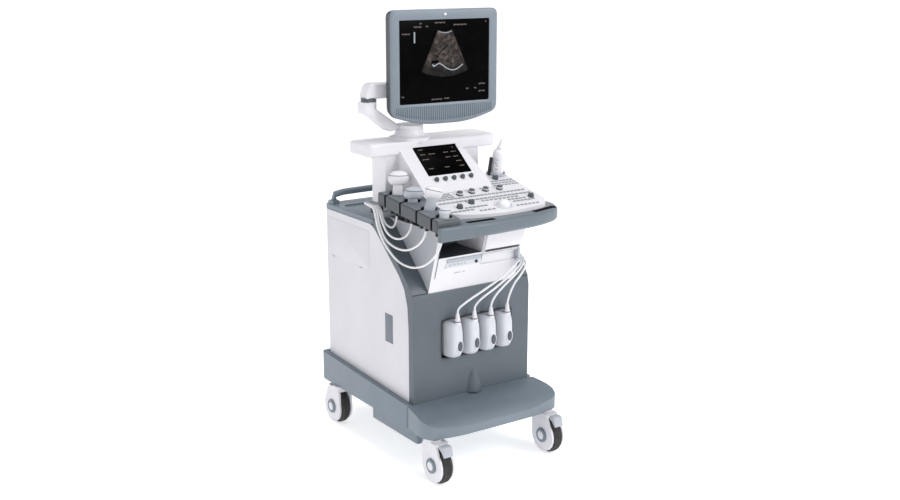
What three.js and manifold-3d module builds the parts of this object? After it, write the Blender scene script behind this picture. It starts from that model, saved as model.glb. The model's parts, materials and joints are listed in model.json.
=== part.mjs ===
// Cart-type ultrasound machine: a wheeled base and body, a control console with a touch screen
// and probe holders, a swing arm with a flat monitor, and four probes on cables.
// Millimetres, +Z up, front towards -Y, +X to the viewer's right, wheels standing on z = 0.
import * as THREE from 'three';
import { mergeVertices } from 'three/addons/utils/BufferGeometryUtils.js';
import Module from 'manifold-3d';

const wasm = await Module();
wasm.setup();

// ---- driving dimensions ----------------------------------------------------------------
const GAP = 0.3;                     // clearance between touching pieces
const FRAME_SHIFT = [-6.3, -194.92, 0];  // puts the centre of the machine's box over the origin

const BODY_HALF = 233;               // half width over the side panels
const BODY_BACK = 571;
const BODY_BOTTOM = 222.3;
const DECK_TOP = 797;
const SKIN = 4;                      // cover thickness

const BASE_HALF = 256;
const BASE_BACK = 592;
const BASE_BOTTOM = 146;
const BASE_TOP = 222;
const PAN = { half: 230, front: -14, back: 274, bottom: 90 };

const WHEEL_R = 62.5;
const WHEEL_HALF = 17;
const AXLE_R = 6;
const CASTERS = [
  { side: 'front_left', x: -224, stemY: -104, hubY: -130, brake: true },
  { side: 'front_right', x: 224, stemY: -104, hubY: -130, brake: true },
  { side: 'rear_left', x: -236, stemY: 480, hubY: 505, brake: false },
  { side: 'rear_right', x: 236, stemY: 480, hubY: 505, brake: false },
];

const SOCKET = { left: -124, right: 158, bottom: 360, top: 492, depth: 26 };
const CONNECTOR = { first: -86, pitch: 67, half: 26, bottom: 366, top: 486, front: -46, back: 25 };

const IO = { half: 173, bottom: 586, top: 800, frontLow: 5, frontHigh: -62, back: 245 };
const BAY = { left: -158, right: 12, bottom: 710, top: 786, depth: 110 };
const DRIVE = { left: -126, right: 26, bottom: 672, top: 704, front: -26, back: 76 };
const DRAWER = { left: 20, right: 166, bottom: 704, top: 786, back: 108, wall: 3 };

const TRAY = { left: -158, bottom: 801, top: 846, back: 250 };
const PLATE = { originY: -100, originZ: 862, rise: 0.236 };     // top plane of the control plate
const FACE = { originY: 91, originZ: 932, rise: 0.792 };        // sloping face of the screen pod
const POD = { left: -150, right: 116, back: 300, shelfTop: 1050, shelfBottom: 1008 };
const COLUMN = { x: -70, y: 272, top: 1084 };
const ELBOW = { x: -214, y: 292, low: 1140, high: 1179 };
const UPPER_ARM = { bottom: 1179.5, top: 1236 };
const SWIVEL = { x: 31, y: 292 };
const MONITOR = {
  yaw: -4.2, half: 202, bottom: 1101, corner: 1134, top: 1474, front: 195, seam: 217, back: 240,
  tiltY: 264, tiltZ: 1290,
};
const LCD = { half: 169, bottom: 1171, top: 1441 };

const RACK = { left: -246, front: -160, back: 190, bore: 27, slit: 10, x: -199 };
const CUP_Y = [143, 53, -42, -127];
const CABLE_D = 7;

// ---- materials ----------------------------------------------------------------------------
const finish = (color, roughness, metalness = 0) => (
  new THREE.MeshStandardMaterial({ color, roughness, metalness })
);
const SLATE = finish(0x75818f, 0.45);
const SLATE_DARK = finish(0x4e565f, 0.5);
const WHITE = finish(0xdcdae2, 0.4);
const PALE_GREY = finish(0xb6bac4, 0.45);
const BLACK = finish(0x101114, 0.35);
const GLASS_BLACK = finish(0x060608, 0.15);
const TYRE = finish(0x2c2c2f, 0.75);
const STEEL = finish(0xa9adb2, 0.35, 0.9);
const CABLE_WHITE = finish(0xe6e6ea, 0.5);
const GEL = finish(0xf2f2f4, 0.35);

// ---- geometry helpers ----------------------------------------------------------------------
const X = new THREE.Vector3(1, 0, 0);
const Y = new THREE.Vector3(0, 1, 0);
const Z = new THREE.Vector3(0, 0, 1);
const CURVE_STEPS = 3;

/** A manifold-3d solid from a closed three.js geometry. */
function toSolid(geometry) {
  const bare = geometry.clone();
  bare.deleteAttribute('normal');
  bare.deleteAttribute('uv');
  const merged = mergeVertices(bare, 1e-4);
  const vertProperties = Float32Array.from(merged.attributes.position.array);
  const triVerts = Uint32Array.from(merged.index.array);
  return new wasm.Manifold(new wasm.Mesh({ numProp: 3, vertProperties, triVerts }));
}

/** The three.js geometry of a manifold-3d solid. */
function toGeometry(solid) {
  const mesh = solid.getMesh();
  const geometry = new THREE.BufferGeometry();
  const positions = Float32Array.from(mesh.vertProperties);
  geometry.setAttribute('position', new THREE.BufferAttribute(positions, 3));
  geometry.setIndex(new THREE.BufferAttribute(Uint32Array.from(mesh.triVerts), 1));
  geometry.computeVertexNormals();
  return geometry;
}

const join = (...parts) => toGeometry(parts.map(toSolid).reduce((a, b) => a.add(b)));
const cut = (base, ...tools) => toGeometry(
  tools.map(toSolid).reduce((a, b) => a.subtract(b), toSolid(base)),
);
const common = (a, b) => toGeometry(toSolid(a).intersect(toSolid(b)));

/** A box from its lowest corner to its highest corner. */
function block(x0, y0, z0, x1, y1, z1) {
  const box = new THREE.BoxGeometry(x1 - x0, y1 - y0, z1 - z0);
  return box.translate((x0 + x1) / 2, (y0 + y1) / 2, (z0 + z1) / 2);
}

/** A closed outline through corner points [a, b, r], each corner rounded by the length r. */
function outline(corners) {
  const shape = new THREE.Shape();
  corners.forEach(([a, b, r = 0], i) => {
    const corner = new THREE.Vector2(a, b);
    const [pa, pb] = corners[(i + corners.length - 1) % corners.length];
    const [na, nb] = corners[(i + 1) % corners.length];
    const back = new THREE.Vector2(pa, pb).sub(corner);
    const ahead = new THREE.Vector2(na, nb).sub(corner);
    const reach = Math.min(r, 0.48 * back.length(), 0.48 * ahead.length());
    const before = back.setLength(reach).add(corner);
    const after = ahead.setLength(reach).add(corner);
    const start = r > 0 ? before : corner;
    if (i === 0) shape.moveTo(start.x, start.y);
    else shape.lineTo(start.x, start.y);
    if (r > 0) shape.quadraticCurveTo(corner.x, corner.y, after.x, after.y);
  });
  shape.closePath();
  return shape;
}

const rectangle = (a0, b0, a1, b1, r) => outline([[a0, b0, r], [a1, b0, r], [a1, b1, r], [a0, b1, r]]);

/** Turns an extrusion along local z so that it runs along the named axis of the machine. */
function lay(geometry, axis) {
  if (axis === 'x') geometry.applyMatrix4(new THREE.Matrix4().makeBasis(Y, Z, X));
  if (axis === 'y') geometry.applyMatrix4(new THREE.Matrix4().makeBasis(X, Z, Y.clone().negate()));
  return geometry;
}

/** A prism of an outline between two places on an axis; outlines are drawn in the other two axes. */
function prism(shape, axis, from, to, bevel = 0) {
  const settings = {
    depth: to - from - 2 * bevel, curveSegments: CURVE_STEPS, bevelEnabled: bevel > 0,
    bevelThickness: bevel, bevelSize: bevel, bevelOffset: -bevel, bevelSegments: 1,
  };
  const start = (axis === 'y' ? -to : from) + bevel;
  return lay(new THREE.ExtrudeGeometry(shape, settings).translate(0, 0, start), axis);
}

/** A round solid about an axis through a centre; the profile lists [radius, place along axis]. */
function turned(profile, axis, centre, segments = 24) {
  const points = profile.map(([r, h]) => new THREE.Vector2(r, h));
  const lathe = new THREE.LatheGeometry(points, segments);
  if (axis === 'z') lathe.rotateX(Math.PI / 2);
  if (axis === 'x') lathe.rotateZ(-Math.PI / 2);
  return lathe.translate(...centre);
}

const disc = (r, from, to, axis, centre, segments) => (
  turned([[0, from], [r, from], [r, to], [0, to]], axis, centre, segments)
);

/** A tube of oval section along a smooth curve through points. */
function tube(points, halfWide, halfTall, sides, steps) {
  const section = new THREE.Shape();
  for (let i = 0; i < sides; i += 1) {
    const angle = (2 * Math.PI * i) / sides;
    const place = [halfWide * Math.cos(angle), halfTall * Math.sin(angle)];
    if (i === 0) section.moveTo(...place);
    else section.lineTo(...place);
  }
  section.closePath();
  const path = new THREE.CatmullRomCurve3(points.map((p) => new THREE.Vector3(...p)), false, 'centripetal');
  return new THREE.ExtrudeGeometry(section, { steps, extrudePath: path, bevelEnabled: false });
}

const machine = new THREE.Group();
machine.position.set(...FRAME_SHIFT);

/** Adds one named piece to a group of the machine. */
function add(name, geometry, material, group = machine) {
  const mesh = new THREE.Mesh(geometry, material);
  mesh.name = name;
  group.add(mesh);
  return mesh;
}

// ---- base and casters ----------------------------------------------------------------------
function baseSkirt() {
  const hull = prism(rectangle(-BASE_HALF, -2, BASE_HALF, BASE_BACK, 26), 'z', BASE_BOTTOM, BASE_TOP);
  const lipRise = 28;
  const lip = common(
    prism(rectangle(-BASE_HALF, -2, BASE_HALF, BASE_BACK, 26), 'z', BASE_BOTTOM, BASE_TOP + lipRise),
    prism(outline([[-2, 160], [BASE_BACK, 160], [BASE_BACK, BASE_TOP + lipRise, 6], [-2, BASE_TOP]]),
      'x', -BASE_HALF, BASE_HALF),
  );
  const well = block(-BODY_HALF - 2, -20, BASE_TOP, BODY_HALF + 2, BODY_BACK + 2, BASE_TOP + 60);
  const foot = common(
    prism(outline([[-BASE_HALF, 0], [-270, -95, 20], [-254, -134, 24], [-150, -154, 40],
      [150, -154, 40], [254, -134, 24], [270, -95, 20], [BASE_HALF, 0]]), 'z', 150, BASE_TOP + 8),
    prism(outline([[0, 140], [0, BASE_TOP - 1], [-60, BASE_TOP - 6, 20], [-128, 198, 20],
      [-158, 176, 10], [-160, 150]]), 'x', -275, 275),
  );
  const pan = prism(rectangle(-PAN.half, PAN.front, PAN.half, PAN.back, 8), 'z', PAN.bottom, 160);
  const hollow = block(-140, PAN.back + 12, BASE_BOTTOM - 5, 140, BASE_BACK - 14, BASE_TOP - 10);
  return cut(join(hull, lip, foot, pan), well, hollow);
}

/** Fork with its swivel plate, two side covers, hub caps and the axle pin between them. */
function casterFork({ x, stemY, hubY }) {
  const plateTop = BASE_BOTTOM - GAP;
  const cover = 56;
  const inner = WHEEL_HALF + 2;
  const outer = inner + 7;
  const back = Math.max(stemY, hubY) + 30;
  const front = Math.min(stemY, hubY) - 26;
  const parts = [
    disc(30, plateTop - 8, plateTop, 'z', [x, stemY, 0], 16),
    prism(rectangle(x - outer, front, x + outer, back, 12), 'z', WHEEL_R + 65, plateTop - 7),
    disc(AXLE_R, -outer, outer, 'x', [x, hubY, WHEEL_R], 10),
  ];
  [-1, 1].forEach((side) => {
    const from = side < 0 ? -outer : inner;
    const to = side < 0 ? -inner : outer;
    const capFrom = side < 0 ? -outer - 6 : outer - 1;
    const capTo = side < 0 ? -outer + 1 : outer + 6;
    const leg = outline([[hubY - 54, WHEEL_R], [hubY + 54, WHEEL_R], [back, 132, 10], [front, 132, 10]]);
    parts.push(disc(cover, from, to, 'x', [x, hubY, WHEEL_R], 18));
    parts.push(prism(leg, 'x', x + from, x + to));
    parts.push(disc(24, capFrom, capTo, 'x', [x, hubY, WHEEL_R], 12));
  });
  return join(...parts);
}

function casterWheel({ x, hubY }) {
  const bore = AXLE_R + 0.4;
  const w = WHEEL_HALF;
  const profile = [
    [bore, -w], [48, -w], [57, -w + 1], [WHEEL_R, -w + 8], [WHEEL_R, w - 8], [57, w - 1], [48, w],
    [bore, w], [bore, -w],
  ];
  return turned(profile, 'x', [x, hubY, WHEEL_R], 30);
}

/** Brake lever over the front of the tread, turning about a pin under the swivel plate. */
function brakePedal({ x, stemY, hubY }) {
  const front = Math.min(stemY, hubY) - 26;
  const lever = outline([[front - 1, 137], [front - 1, 126], [front - 16, 120], [front - 30, 104, 3],
    [front - 34, 107, 2], [front - 25, 139, 7]]);
  return prism(lever, 'x', x - 17, x + 17);
}

add('base_skirt', baseSkirt(), SLATE);
CASTERS.forEach((caster) => {
  add(`caster_fork_${caster.side}`, casterFork(caster), WHITE);
  add(`caster_wheel_${caster.side}`, casterWheel(caster), TYRE);
  if (caster.brake) add(`brake_pedal_${caster.side}`, brakePedal(caster), PALE_GREY);
});

// ---- body ----------------------------------------------------------------------------------
/** Draws the cover's outer edge, from the foot of the front up the long slope to the deck. */
function drawOuterEdge(shape, backY) {
  shape.moveTo(0, BODY_BOTTOM);
  shape.lineTo(0, 560);
  shape.bezierCurveTo(0, 600, 28, 620, 57, 647);
  shape.lineTo(196, 774);
  shape.quadraticCurveTo(220, DECK_TOP - 1, 236, DECK_TOP - 1);
  shape.lineTo(backY, DECK_TOP - 1);
}

/** Side view of the cover's band between its outer edge and the edge of the side panels. */
function coverBand() {
  const band = new THREE.Shape();
  drawOuterEdge(band, 246);
  band.lineTo(246, 776);
  band.quadraticCurveTo(236, 770, 222, 757);
  band.lineTo(85, 641);
  band.bezierCurveTo(45, 605, 29, 560, 29, 470);
  band.lineTo(29, BODY_BOTTOM);
  band.closePath();
  return band;
}

/** Side view of the whole body, moved outwards or inwards by dy and dz. */
function bodySide(dy, dz, top) {
  const side = new THREE.Shape();
  side.moveTo(dy, 200);
  side.lineTo(dy, 560 + dz);
  side.bezierCurveTo(dy, 600 + dz, 28 + dy, 620 + dz, 57 + dy, 647 + dz);
  side.lineTo(196 + dy, 774 + dz);
  side.quadraticCurveTo(220 + dy, top, 236 + dy, top);
  side.lineTo(400, top);
  side.lineTo(400, 200);
  side.closePath();
  return side;
}

function frontCover() {
  const shell = cut(
    prism(coverBand(), 'x', -BODY_HALF, BODY_HALF),
    prism(bodySide(SKIN, -1.6, DECK_TOP - 5), 'x', -BODY_HALF + SKIN, BODY_HALF - SKIN),
  );
  const opening = prism(
    rectangle(SOCKET.left - 3 - GAP, SOCKET.bottom - 3 - GAP, SOCKET.right + 3 + GAP, SOCKET.top + 3 + GAP, 14),
    'y', -5, SKIN + 1,
  );
  const bump = common(
    turned([[0, 224], [32, 224], [29, 250], [20, 285], [8, 308], [0, 314]], 'z', [6, 10, 0], 20),
    block(-40, -30, 224, 50, SKIN, 320),
  );
  return join(cut(shell, opening), bump);
}

function sidePanel(side) {
  const panel = new THREE.Shape();
  const set = 0.5;
  panel.moveTo(29 + set, BODY_BOTTOM);
  panel.lineTo(29 + set, 470);
  panel.bezierCurveTo(29 + set, 560, 45 + set, 605, 85 + set, 641 - set);
  panel.lineTo(222 + set, 757 - set);
  panel.quadraticCurveTo(236 + set, 770 - set, 262, 778);
  panel.lineTo(BODY_BACK - 6, 778);
  panel.lineTo(BODY_BACK - 6, BODY_BOTTOM);
  panel.closePath();
  const from = side < 0 ? -BODY_HALF : BODY_HALF - SKIN;
  const plate = prism(panel, 'x', from, from + SKIN);
  const vents = [];
  for (let i = 0; i < 6; i += 1) {
    vents.push(block(side * BODY_HALF - 6, 130, 402 + i * 15, side * BODY_HALF + 6, 169, 409 + i * 15));
  }
  return cut(plate, ...vents);
}

function topDeck() {
  const slab = prism(rectangle(-BODY_HALF, 246 + GAP, BODY_HALF, BODY_BACK, 10), 'z', 779, DECK_TOP, 1.5);
  const tray = prism(rectangle(-205, 320, 205, 500, 20), 'z', DECK_TOP - 5, DECK_TOP + 5);
  return cut(slab, tray);
}

function rearHandle() {
  const y = 535;
  const grip = [[-214, y + 10, 804], [-219, y + 8, 824], [-200, y, 834], [-120, y - 4, 838], [0, y - 5, 839],
    [120, y - 4, 838], [200, y, 834], [219, y + 8, 824], [214, y + 10, 804]];
  const feet = [-1, 1].map((side) => (
    prism(rectangle(side * 214 - 16, y - 8, side * 214 + 16, y + 28, 10), 'z', DECK_TOP + GAP, DECK_TOP + 11)
  ));
  return join(tube(grip, 9, 13, 8, 16), ...feet);
}

function rearCover() {
  const skin = block(-BODY_HALF + SKIN + 1, BODY_BACK - 5, BODY_BOTTOM, BODY_HALF - SKIN - 1, BODY_BACK, 777);
  const tools = [];
  for (let i = 0; i < 10; i += 1) {
    tools.push(block(-120, BODY_BACK - 20, 560 + i * 16, 120, BODY_BACK + 5, 568 + i * 16));
  }
  const inlet = prism(rectangle(-190, 270, -142, 300, 4), 'y', BODY_BACK - 20, BODY_BACK + 5);
  const breaker = prism(rectangle(-128, 268, -98, 302, 3), 'y', BODY_BACK - 20, BODY_BACK + 5);
  const socketBody = prism(rectangle(-192, 268, -140, 302, 5), 'y', BODY_BACK - 32, BODY_BACK - 4);
  const pins = [-176, -166, -156].map((x) => block(x - 2, BODY_BACK - 31, 282, x + 2, BODY_BACK - 10, 290));
  const mouth = prism(rectangle(-188, 272, -144, 298, 4), 'y', BODY_BACK - 26, BODY_BACK + 5);
  return join(cut(join(cut(skin, ...tools, inlet, breaker), socketBody), mouth), ...pins);
}

/** Sheet-metal chassis: floor tray, four posts, cross rails and a shelf under the deck. */
function innerFrame() {
  const floor = block(-222, 40, BODY_BOTTOM + 0.2, 222, 560, BODY_BOTTOM + 5);
  const posts = [];
  [-1, 1].forEach((side) => {
    [[48, 580], [530, 772]].forEach(([y, top]) => {
      const x = side < 0 ? -222 : 202;
      posts.push(block(x, y, BODY_BOTTOM + 1, x + 20, y + 25, top));
    });
    const railX = side < 0 ? -222 : 202;
    posts.push(block(railX, 48, 560, railX + 20, 555, 580));
    posts.push(block(railX, 265, 756, railX + 20, 555, 772));
    posts.push(block(railX, 265, 560, railX + 20, 285, 772));
  });
  posts.push(block(-222, 535, 740, 222, 555, 772));
  posts.push(block(-222, 265, 756, 222, 285, 772));
  posts.push(block(-222, 48, 560, 222, 62, 580));
  return join(floor, ...posts);
}

function powerSupply() {
  const can = block(-170, 330, BODY_BOTTOM + 6, 60, 520, 330);
  const fins = [];
  for (let i = 0; i < 5; i += 1) {
    fins.push(block(-150 + i * 42, 326, 250, -130 + i * 42, 334, 310));
  }
  return cut(can, ...fins);
}

/** Card cage of the scan engine, with its boards as one comb. */
function cardCage() {
  const can = block(-150, 90, 345, 150, 520, 545);
  const bays = [];
  for (let i = 0; i < 8; i += 1) {
    bays.push(block(-140 + i * 36, 70, 355, -112 + i * 36, 500, 535));
  }
  return cut(can, ...bays);
}

/** Shallow recess that the probe connectors plug into. */
function connectorPanel() {
  const { left, right, bottom, top, depth } = SOCKET;
  const box = prism(rectangle(left - 3, bottom - 3, right + 3, top + 3, 14), 'y', 0.5, depth + 6);
  return cut(box, prism(rectangle(left, bottom, right, top, 12), 'y', -5, depth));
}

/** Connector body with a rounded front, a locking lever and a tapered strain relief on top. */
function probeConnector(x) {
  const { half, bottom, top, front, back } = CONNECTOR;
  const side = outline([[back, bottom + 3], [back, top - 6], [front + 14, top, 14],
    [front, top - 26, 16], [front, bottom + 34, 16], [front + 16, bottom, 16]]);
  const shell = prism(side, 'x', x - half, x + half, 4);
  const lever = turned([[0, 0], [10, 0], [10, 5], [6, 8], [0, 8]], 'z', [0, 0, 0], 12);
  lever.rotateX(Math.PI / 2).scale(1, 1, 1.9).translate(x + 4, front + 2, bottom + 42);
  const relief = turned([[0, -4], [11, -4], [10, 4], [6, 20], [5, 26], [0, 26]], 'z', [x + 6, front + 18, top], 10);
  return join(shell, lever, relief);
}

add('front_cover', frontCover(), SLATE);
add('side_panel_left', sidePanel(-1), WHITE);
add('side_panel_right', sidePanel(1), WHITE);
add('top_deck', topDeck(), SLATE);
add('rear_handle', rearHandle(), SLATE);
add('rear_cover', rearCover(), WHITE);
add('inner_frame', innerFrame(), STEEL);
add('power_supply', powerSupply(), STEEL);
add('card_cage', cardCage(), STEEL);
add('connector_panel', connectorPanel(), SLATE_DARK);
for (let i = 0; i < 4; i += 1) {
  add(`probe_connector_${i + 1}`, probeConnector(CONNECTOR.first + i * CONNECTOR.pitch), PALE_GREY);
}

// ---- housing under the console: open bay, disc drive and drawer ------------------------------
function ioHousing() {
  const side = outline([[IO.frontLow, IO.bottom, 6], [IO.frontHigh, IO.top], [IO.back, IO.top], [IO.back, 700],
    [100, IO.bottom]]);
  const bulk = prism(side, 'x', -IO.half, IO.half);
  const body = prism(bodySide(-0.6, 0.6, DECK_TOP + 0.4), 'x', -300, 300);
  const bay = block(BAY.left, -90, BAY.bottom, BAY.right, BAY.depth, BAY.top);
  const drive = block(DRIVE.left - GAP, -90, DRIVE.bottom - GAP, DRIVE.right + GAP - 10, DRIVE.back + GAP,
    DRIVE.top + GAP);
  const drawer = block(DRAWER.left - 1, -90, DRAWER.bottom - 1, DRAWER.right + 1, DRAWER.back + 2, DRAWER.top + 1);
  const panel = block(DRAWER.left, -40, 664, DRAWER.right, -14, 698);
  const hook = join(
    block(IO.half - 2, 0, 642, IO.half + 42, 13, 646),
    block(IO.half + 39, 0, 642, IO.half + 42, 13, 657),
  );
  return join(cut(bulk, body, bay, drive, drawer, panel), hook);
}

function discDrive() {
  const right = DRIVE.right - 10;
  const can = block(DRIVE.left, DRIVE.front, DRIVE.bottom, right, DRIVE.back, DRIVE.top);
  return cut(can, block(DRIVE.left + 6, DRIVE.front - 5, 688, right - 6, DRIVE.back - 8, 700));
}

function discTray() {
  const right = DRIVE.right - 16 - GAP;
  const left = DRIVE.left + 6 + GAP;
  const tray = block(left, DRIVE.front - 2, 688 + GAP, right, DRIVE.back - 8 - GAP, 700 - GAP);
  const seat = turned([[0, 692], [42, 692], [42, 705], [0, 705]], 'z', [(left + right) / 2, 22, 0], 24);
  return cut(tray, seat);
}

function drawer() {
  const { left, right, bottom, top, back, wall } = DRAWER;
  const low = IO.frontLow + (IO.frontHigh - IO.frontLow) * ((bottom - IO.bottom) / (IO.top - IO.bottom)) - 2;
  const high = IO.frontLow + (IO.frontHigh - IO.frontLow) * ((top - IO.bottom) / (IO.top - IO.bottom)) - 2;
  const side = outline([[low, bottom], [back, bottom], [back, top - 4], [high, top - 4, 3]]);
  const bulk = prism(side, 'x', left, right);
  return cut(bulk, block(left + wall, high + 22, bottom + wall, right - wall, back - wall, top + 10));
}

add('io_housing', ioHousing(), WHITE);
add('disc_drive', discDrive(), PALE_GREY);
add('disc_tray', discTray(), BLACK);
add('drawer', drawer(), WHITE);

// ---- console -------------------------------------------------------------------------------
const plateHeight = (y) => PLATE.originZ + PLATE.rise * (y - PLATE.originY);
const faceHeight = (y) => FACE.originZ + FACE.rise * (y - FACE.originY);
const PLATE_TILT = Math.atan(PLATE.rise);
const FACE_TILT = Math.atan(FACE.rise);
const BALL = { x: 63, y: -80, r: 22, sink: 4 };
const BOTTLE_AT = { x: 199, y: 146 };
const BALL_AT = [BALL.x, BALL.y, plateHeight(BALL.y) - BALL.sink];

/** Grey rim tray: a grip bar round the front, swept to the right corner, flat under the console. */
function consoleTray() {
  const edge = outline([[TRAY.left, TRAY.back], [TRAY.left, RACK.front - GAP], [RACK.left, RACK.front - GAP],
    [RACK.left, -176, 14], [-60, -181, 60], [150, -166, 60], [252, -128, 46], [291, -60, 40], [288, 10, 30],
    [244, 80, 40], [240, 130, 20], [172, 190], [172, TRAY.back]]);
  const rim = prism(edge, 'z', TRAY.bottom, TRAY.top, 5);
  const slot = (x, y, turn, length) => {
    const hole = prism(rectangle(-length / 2, -9, length / 2, 9, 8), 'z', TRAY.bottom - 10, TRAY.top + 10);
    return hole.rotateZ(turn).translate(x, y, 0);
  };
  const ball = new THREE.SphereGeometry(BALL.r + 0.9, 18, 12).translate(...BALL_AT);
  return cut(rim, slot(-76, -150, -0.03, 108), slot(196, -124, 0.28, 118), ball);
}

const PLATE_EDGE = outline([[-157.5, 150], [-157.5, -88, 26], [-60, -120, 60], [60, -130, 60], [200, -110, 50],
  [236, -84, 22], [228, 174, 6], [175, 174], [175, 150]]);

/** Knobs that turn: [name, x, y] on the control plate; the fixed ones are moulded with the plate. */
const TURNING_KNOBS = [['knob_gain', -93, -57], ['knob_depth', -34, -37], ['knob_zoom', 197, -48],
  ['knob_doppler', 168, 110]];
const FIXED_KNOBS = [[-34, 29], [17, 34], [74, 36], [129, 34]];

function plateKnob(r, height) {
  return turned([[0, 0], [r, 0], [r, height * 0.4], [r * 0.82, height - 1], [r * 0.7, height], [0, height]],
    'z', [0, 0, 0], 12);
}

/** Places a piece, drawn upright at the origin, on the control plate at x, y. */
function onPlate(geometry, x, y, lift = 0) {
  return geometry.rotateX(PLATE_TILT).translate(x, y, plateHeight(y) + lift);
}

function controlPlate() {
  const bulk = prism(PLATE_EDGE, 'z', TRAY.top + GAP, 960);
  const above = prism(outline([[-200, plateHeight(-200)], [200, plateHeight(200)], [200, 1100], [-200, 1100]]),
    'x', -260, 300);
  const ball = new THREE.SphereGeometry(BALL.r + 0.9, 18, 12).translate(...BALL_AT);
  const cup = turned([[0, -6], [26, -6], [26, 14], [0, 14]], 'z', [0, 0, 0], 16);
  const seat = onPlate(cup, BOTTLE_AT.x, BOTTLE_AT.y);
  const ring = cut(turned([[0, -3], [32, -3], [32, 1.6], [0, 1.6]], 'z', [0, 0, 0], 20),
    turned([[0, -9], [26, -9], [26, 9], [0, 9]], 'z', [0, 0, 0], 20));
  const wedge = cut(bulk, above);
  const knobs = FIXED_KNOBS.map(([x, y]) => onPlate(plateKnob(11, 12), x, y, -0.5));
  const base = join(wedge, onPlate(ring, BALL.x, BALL.y), ...knobs);
  return [base, ball, seat];
}

/** Sheet of rubber keys lying on the plate: rows of keys joined by a thin web. */
function keyMat() {
  const web = 0.9;
  const keyTop = 3.4;
  const originY = -18;
  const rows = [
    { y: 6, from: -138, to: 150, pitch: 32 },
    { y: -18, from: -138, to: 214, pitch: 32 },
    { y: -66, from: -70, to: 10, pitch: 20 },
  ];
  const pieces = [block(-2, -50, 0, 2, 25, web)];
  rows.forEach(({ y, from, to, pitch }) => {
    const along = (y - originY) / Math.cos(PLATE_TILT);
    pieces.push(block(from - 3, along - 2, 0, to + 3, along + 2, web));
    for (let x = from; x <= to; x += pitch) {
      pieces.push(block(x - 7, along - 4.2, 0, x + 7, along + 4.2, keyTop));
    }
  });
  return onPlate(join(...pieces), 0, originY, GAP);
}

/** Screen pod: sloping face for the touch screen, a wide shelf on top and the arm's column. */
function screenPod() {
  const toeY = 53;
  const toe = plateHeight(toeY) + GAP;
  const side = outline([[toeY, toe], [toeY, faceHeight(toeY), 2], [226, faceHeight(226), 8],
    [244, POD.shelfTop, 6], [POD.back, POD.shelfTop], [POD.back, TRAY.top + GAP], [150 + GAP, TRAY.top + GAP],
    [150 + GAP, plateHeight(150 + GAP) + GAP]]);
  const taper = prism(outline([[POD.right + 1, 93], [88, 228], [88, 310], [160, 310], [160, 93]]), 'z', 925, 1100);
  const wedge = prism(side, 'x', POD.left, POD.right);
  const shoulder = block(-200, 215, TRAY.top + GAP, 172, POD.back, POD.shelfBottom + 2);
  const shelf = prism(rectangle(-262, 206, 238, 345, 16), 'z', POD.shelfBottom, POD.shelfTop, 5);
  const column = turned([[0, 1040], [68, 1040], [68, 1056], [54, 1062], [48, 1072], [46, COLUMN.top],
    [0, COLUMN.top]], 'z', [COLUMN.x, COLUMN.y, 0], 24);
  const cove = new THREE.BoxGeometry(171, 129, 8);
  const [, faceY, faceZ] = TOUCH_AT;
  cove.rotateX(FACE_TILT).translate(-13.5, faceY, faceZ);
  return cut(join(cut(wedge, taper), shoulder, shelf, column), cove);
}

const TOUCH_Y = 161;
const TOUCH_AT = [-13.5, TOUCH_Y, faceHeight(TOUCH_Y)];

function touchScreen() {
  return new THREE.BoxGeometry(170, 128, 4).translate(0, 0, -1.6).rotateX(FACE_TILT).translate(...TOUCH_AT);
}

function menuKnob(x) {
  const y = 95;
  return plateKnob(8.5, 9).rotateX(FACE_TILT).translate(x, y, faceHeight(y) + GAP + 0.1);
}

/** Holder rack: four cups in a row, each with a slit for the cable, and a comb below the wall. */
function probeHolder() {
  const side = outline([[RACK.front, 826, 8], [RACK.back, 858, 8], [RACK.back, 901, 8], [-60, 877],
    [RACK.front, 866, 10]]);
  const bulk = prism(side, 'x', RACK.left, TRAY.left - GAP, 4);
  const cups = CUP_Y.map((y) => turned([[0, 780], [RACK.bore - 3, 780], [RACK.bore, 930], [0, 930]], 'z',
    [RACK.x, y, 0], 18));
  const slits = CUP_Y.map((y) => block(RACK.left - 5, y - RACK.slit / 2, 780, RACK.x, y + RACK.slit / 2, 930));
  const low = prism(outline([[RACK.front, 700], [TRAY.back, 700], [TRAY.back, TRAY.top + 0.5],
    [RACK.front - 4, TRAY.top + 0.5]]), 'x', TRAY.left - GAP, TRAY.left + 5);
  const teeth = [];
  for (let i = 0; i < 10; i += 1) {
    const y = RACK.front + 12 + i * 29;
    const nearSlit = CUP_Y.some((c) => Math.abs(c - y) < 11);
    const foot = 829 + (y - RACK.front) * 0.0914;
    if (!nearSlit) teeth.push(block(RACK.left + 3, y - 3.5, foot - 13, RACK.left + 12, y + 3.5, foot + 4));
  }
  const hook = join(
    block(-273, 184, 834, -228, 190, 839),
    block(-273, 184, 834, -270.5, 190, 848),
    block(-236, 184, 834, -228, 190, 866),
  );
  return join(cut(bulk, ...cups, ...slits, low), ...teeth, hook);
}

/** A hand probe: tapered handle standing in its cup, and a wide head above. */
function handProbe(index) {
  const heads = [
    { wide: 37, thick: 22, tall: 24, at: 66, lean: 4 },
    { wide: 35, thick: 21, tall: 21, at: 38, lean: 6 },
    { wide: 33, thick: 19, tall: 20, at: 62, lean: 16 },
    { wide: 19, thick: 16, tall: 14, at: 23, lean: 6 },
  ];
  const { wide, thick, tall, at, lean } = heads[index];
  const handle = turned([[0, -36], [7, -36], [12, -26], [17, -4], [18, 20], [17, at], [0, at]], 'z', [0, 0, 0], 12);
  const head = new THREE.SphereGeometry(1, 14, 10).rotateX(Math.PI / 2).scale(wide, thick, tall).translate(0, 0, at);
  const whole = join(handle, head);
  const cupMid = 862 + (CUP_Y[index] - CUP_Y[3]) * 0.07;
  return whole.rotateY(THREE.MathUtils.degToRad(lean)).translate(RACK.x, CUP_Y[index], cupMid);
}

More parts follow.
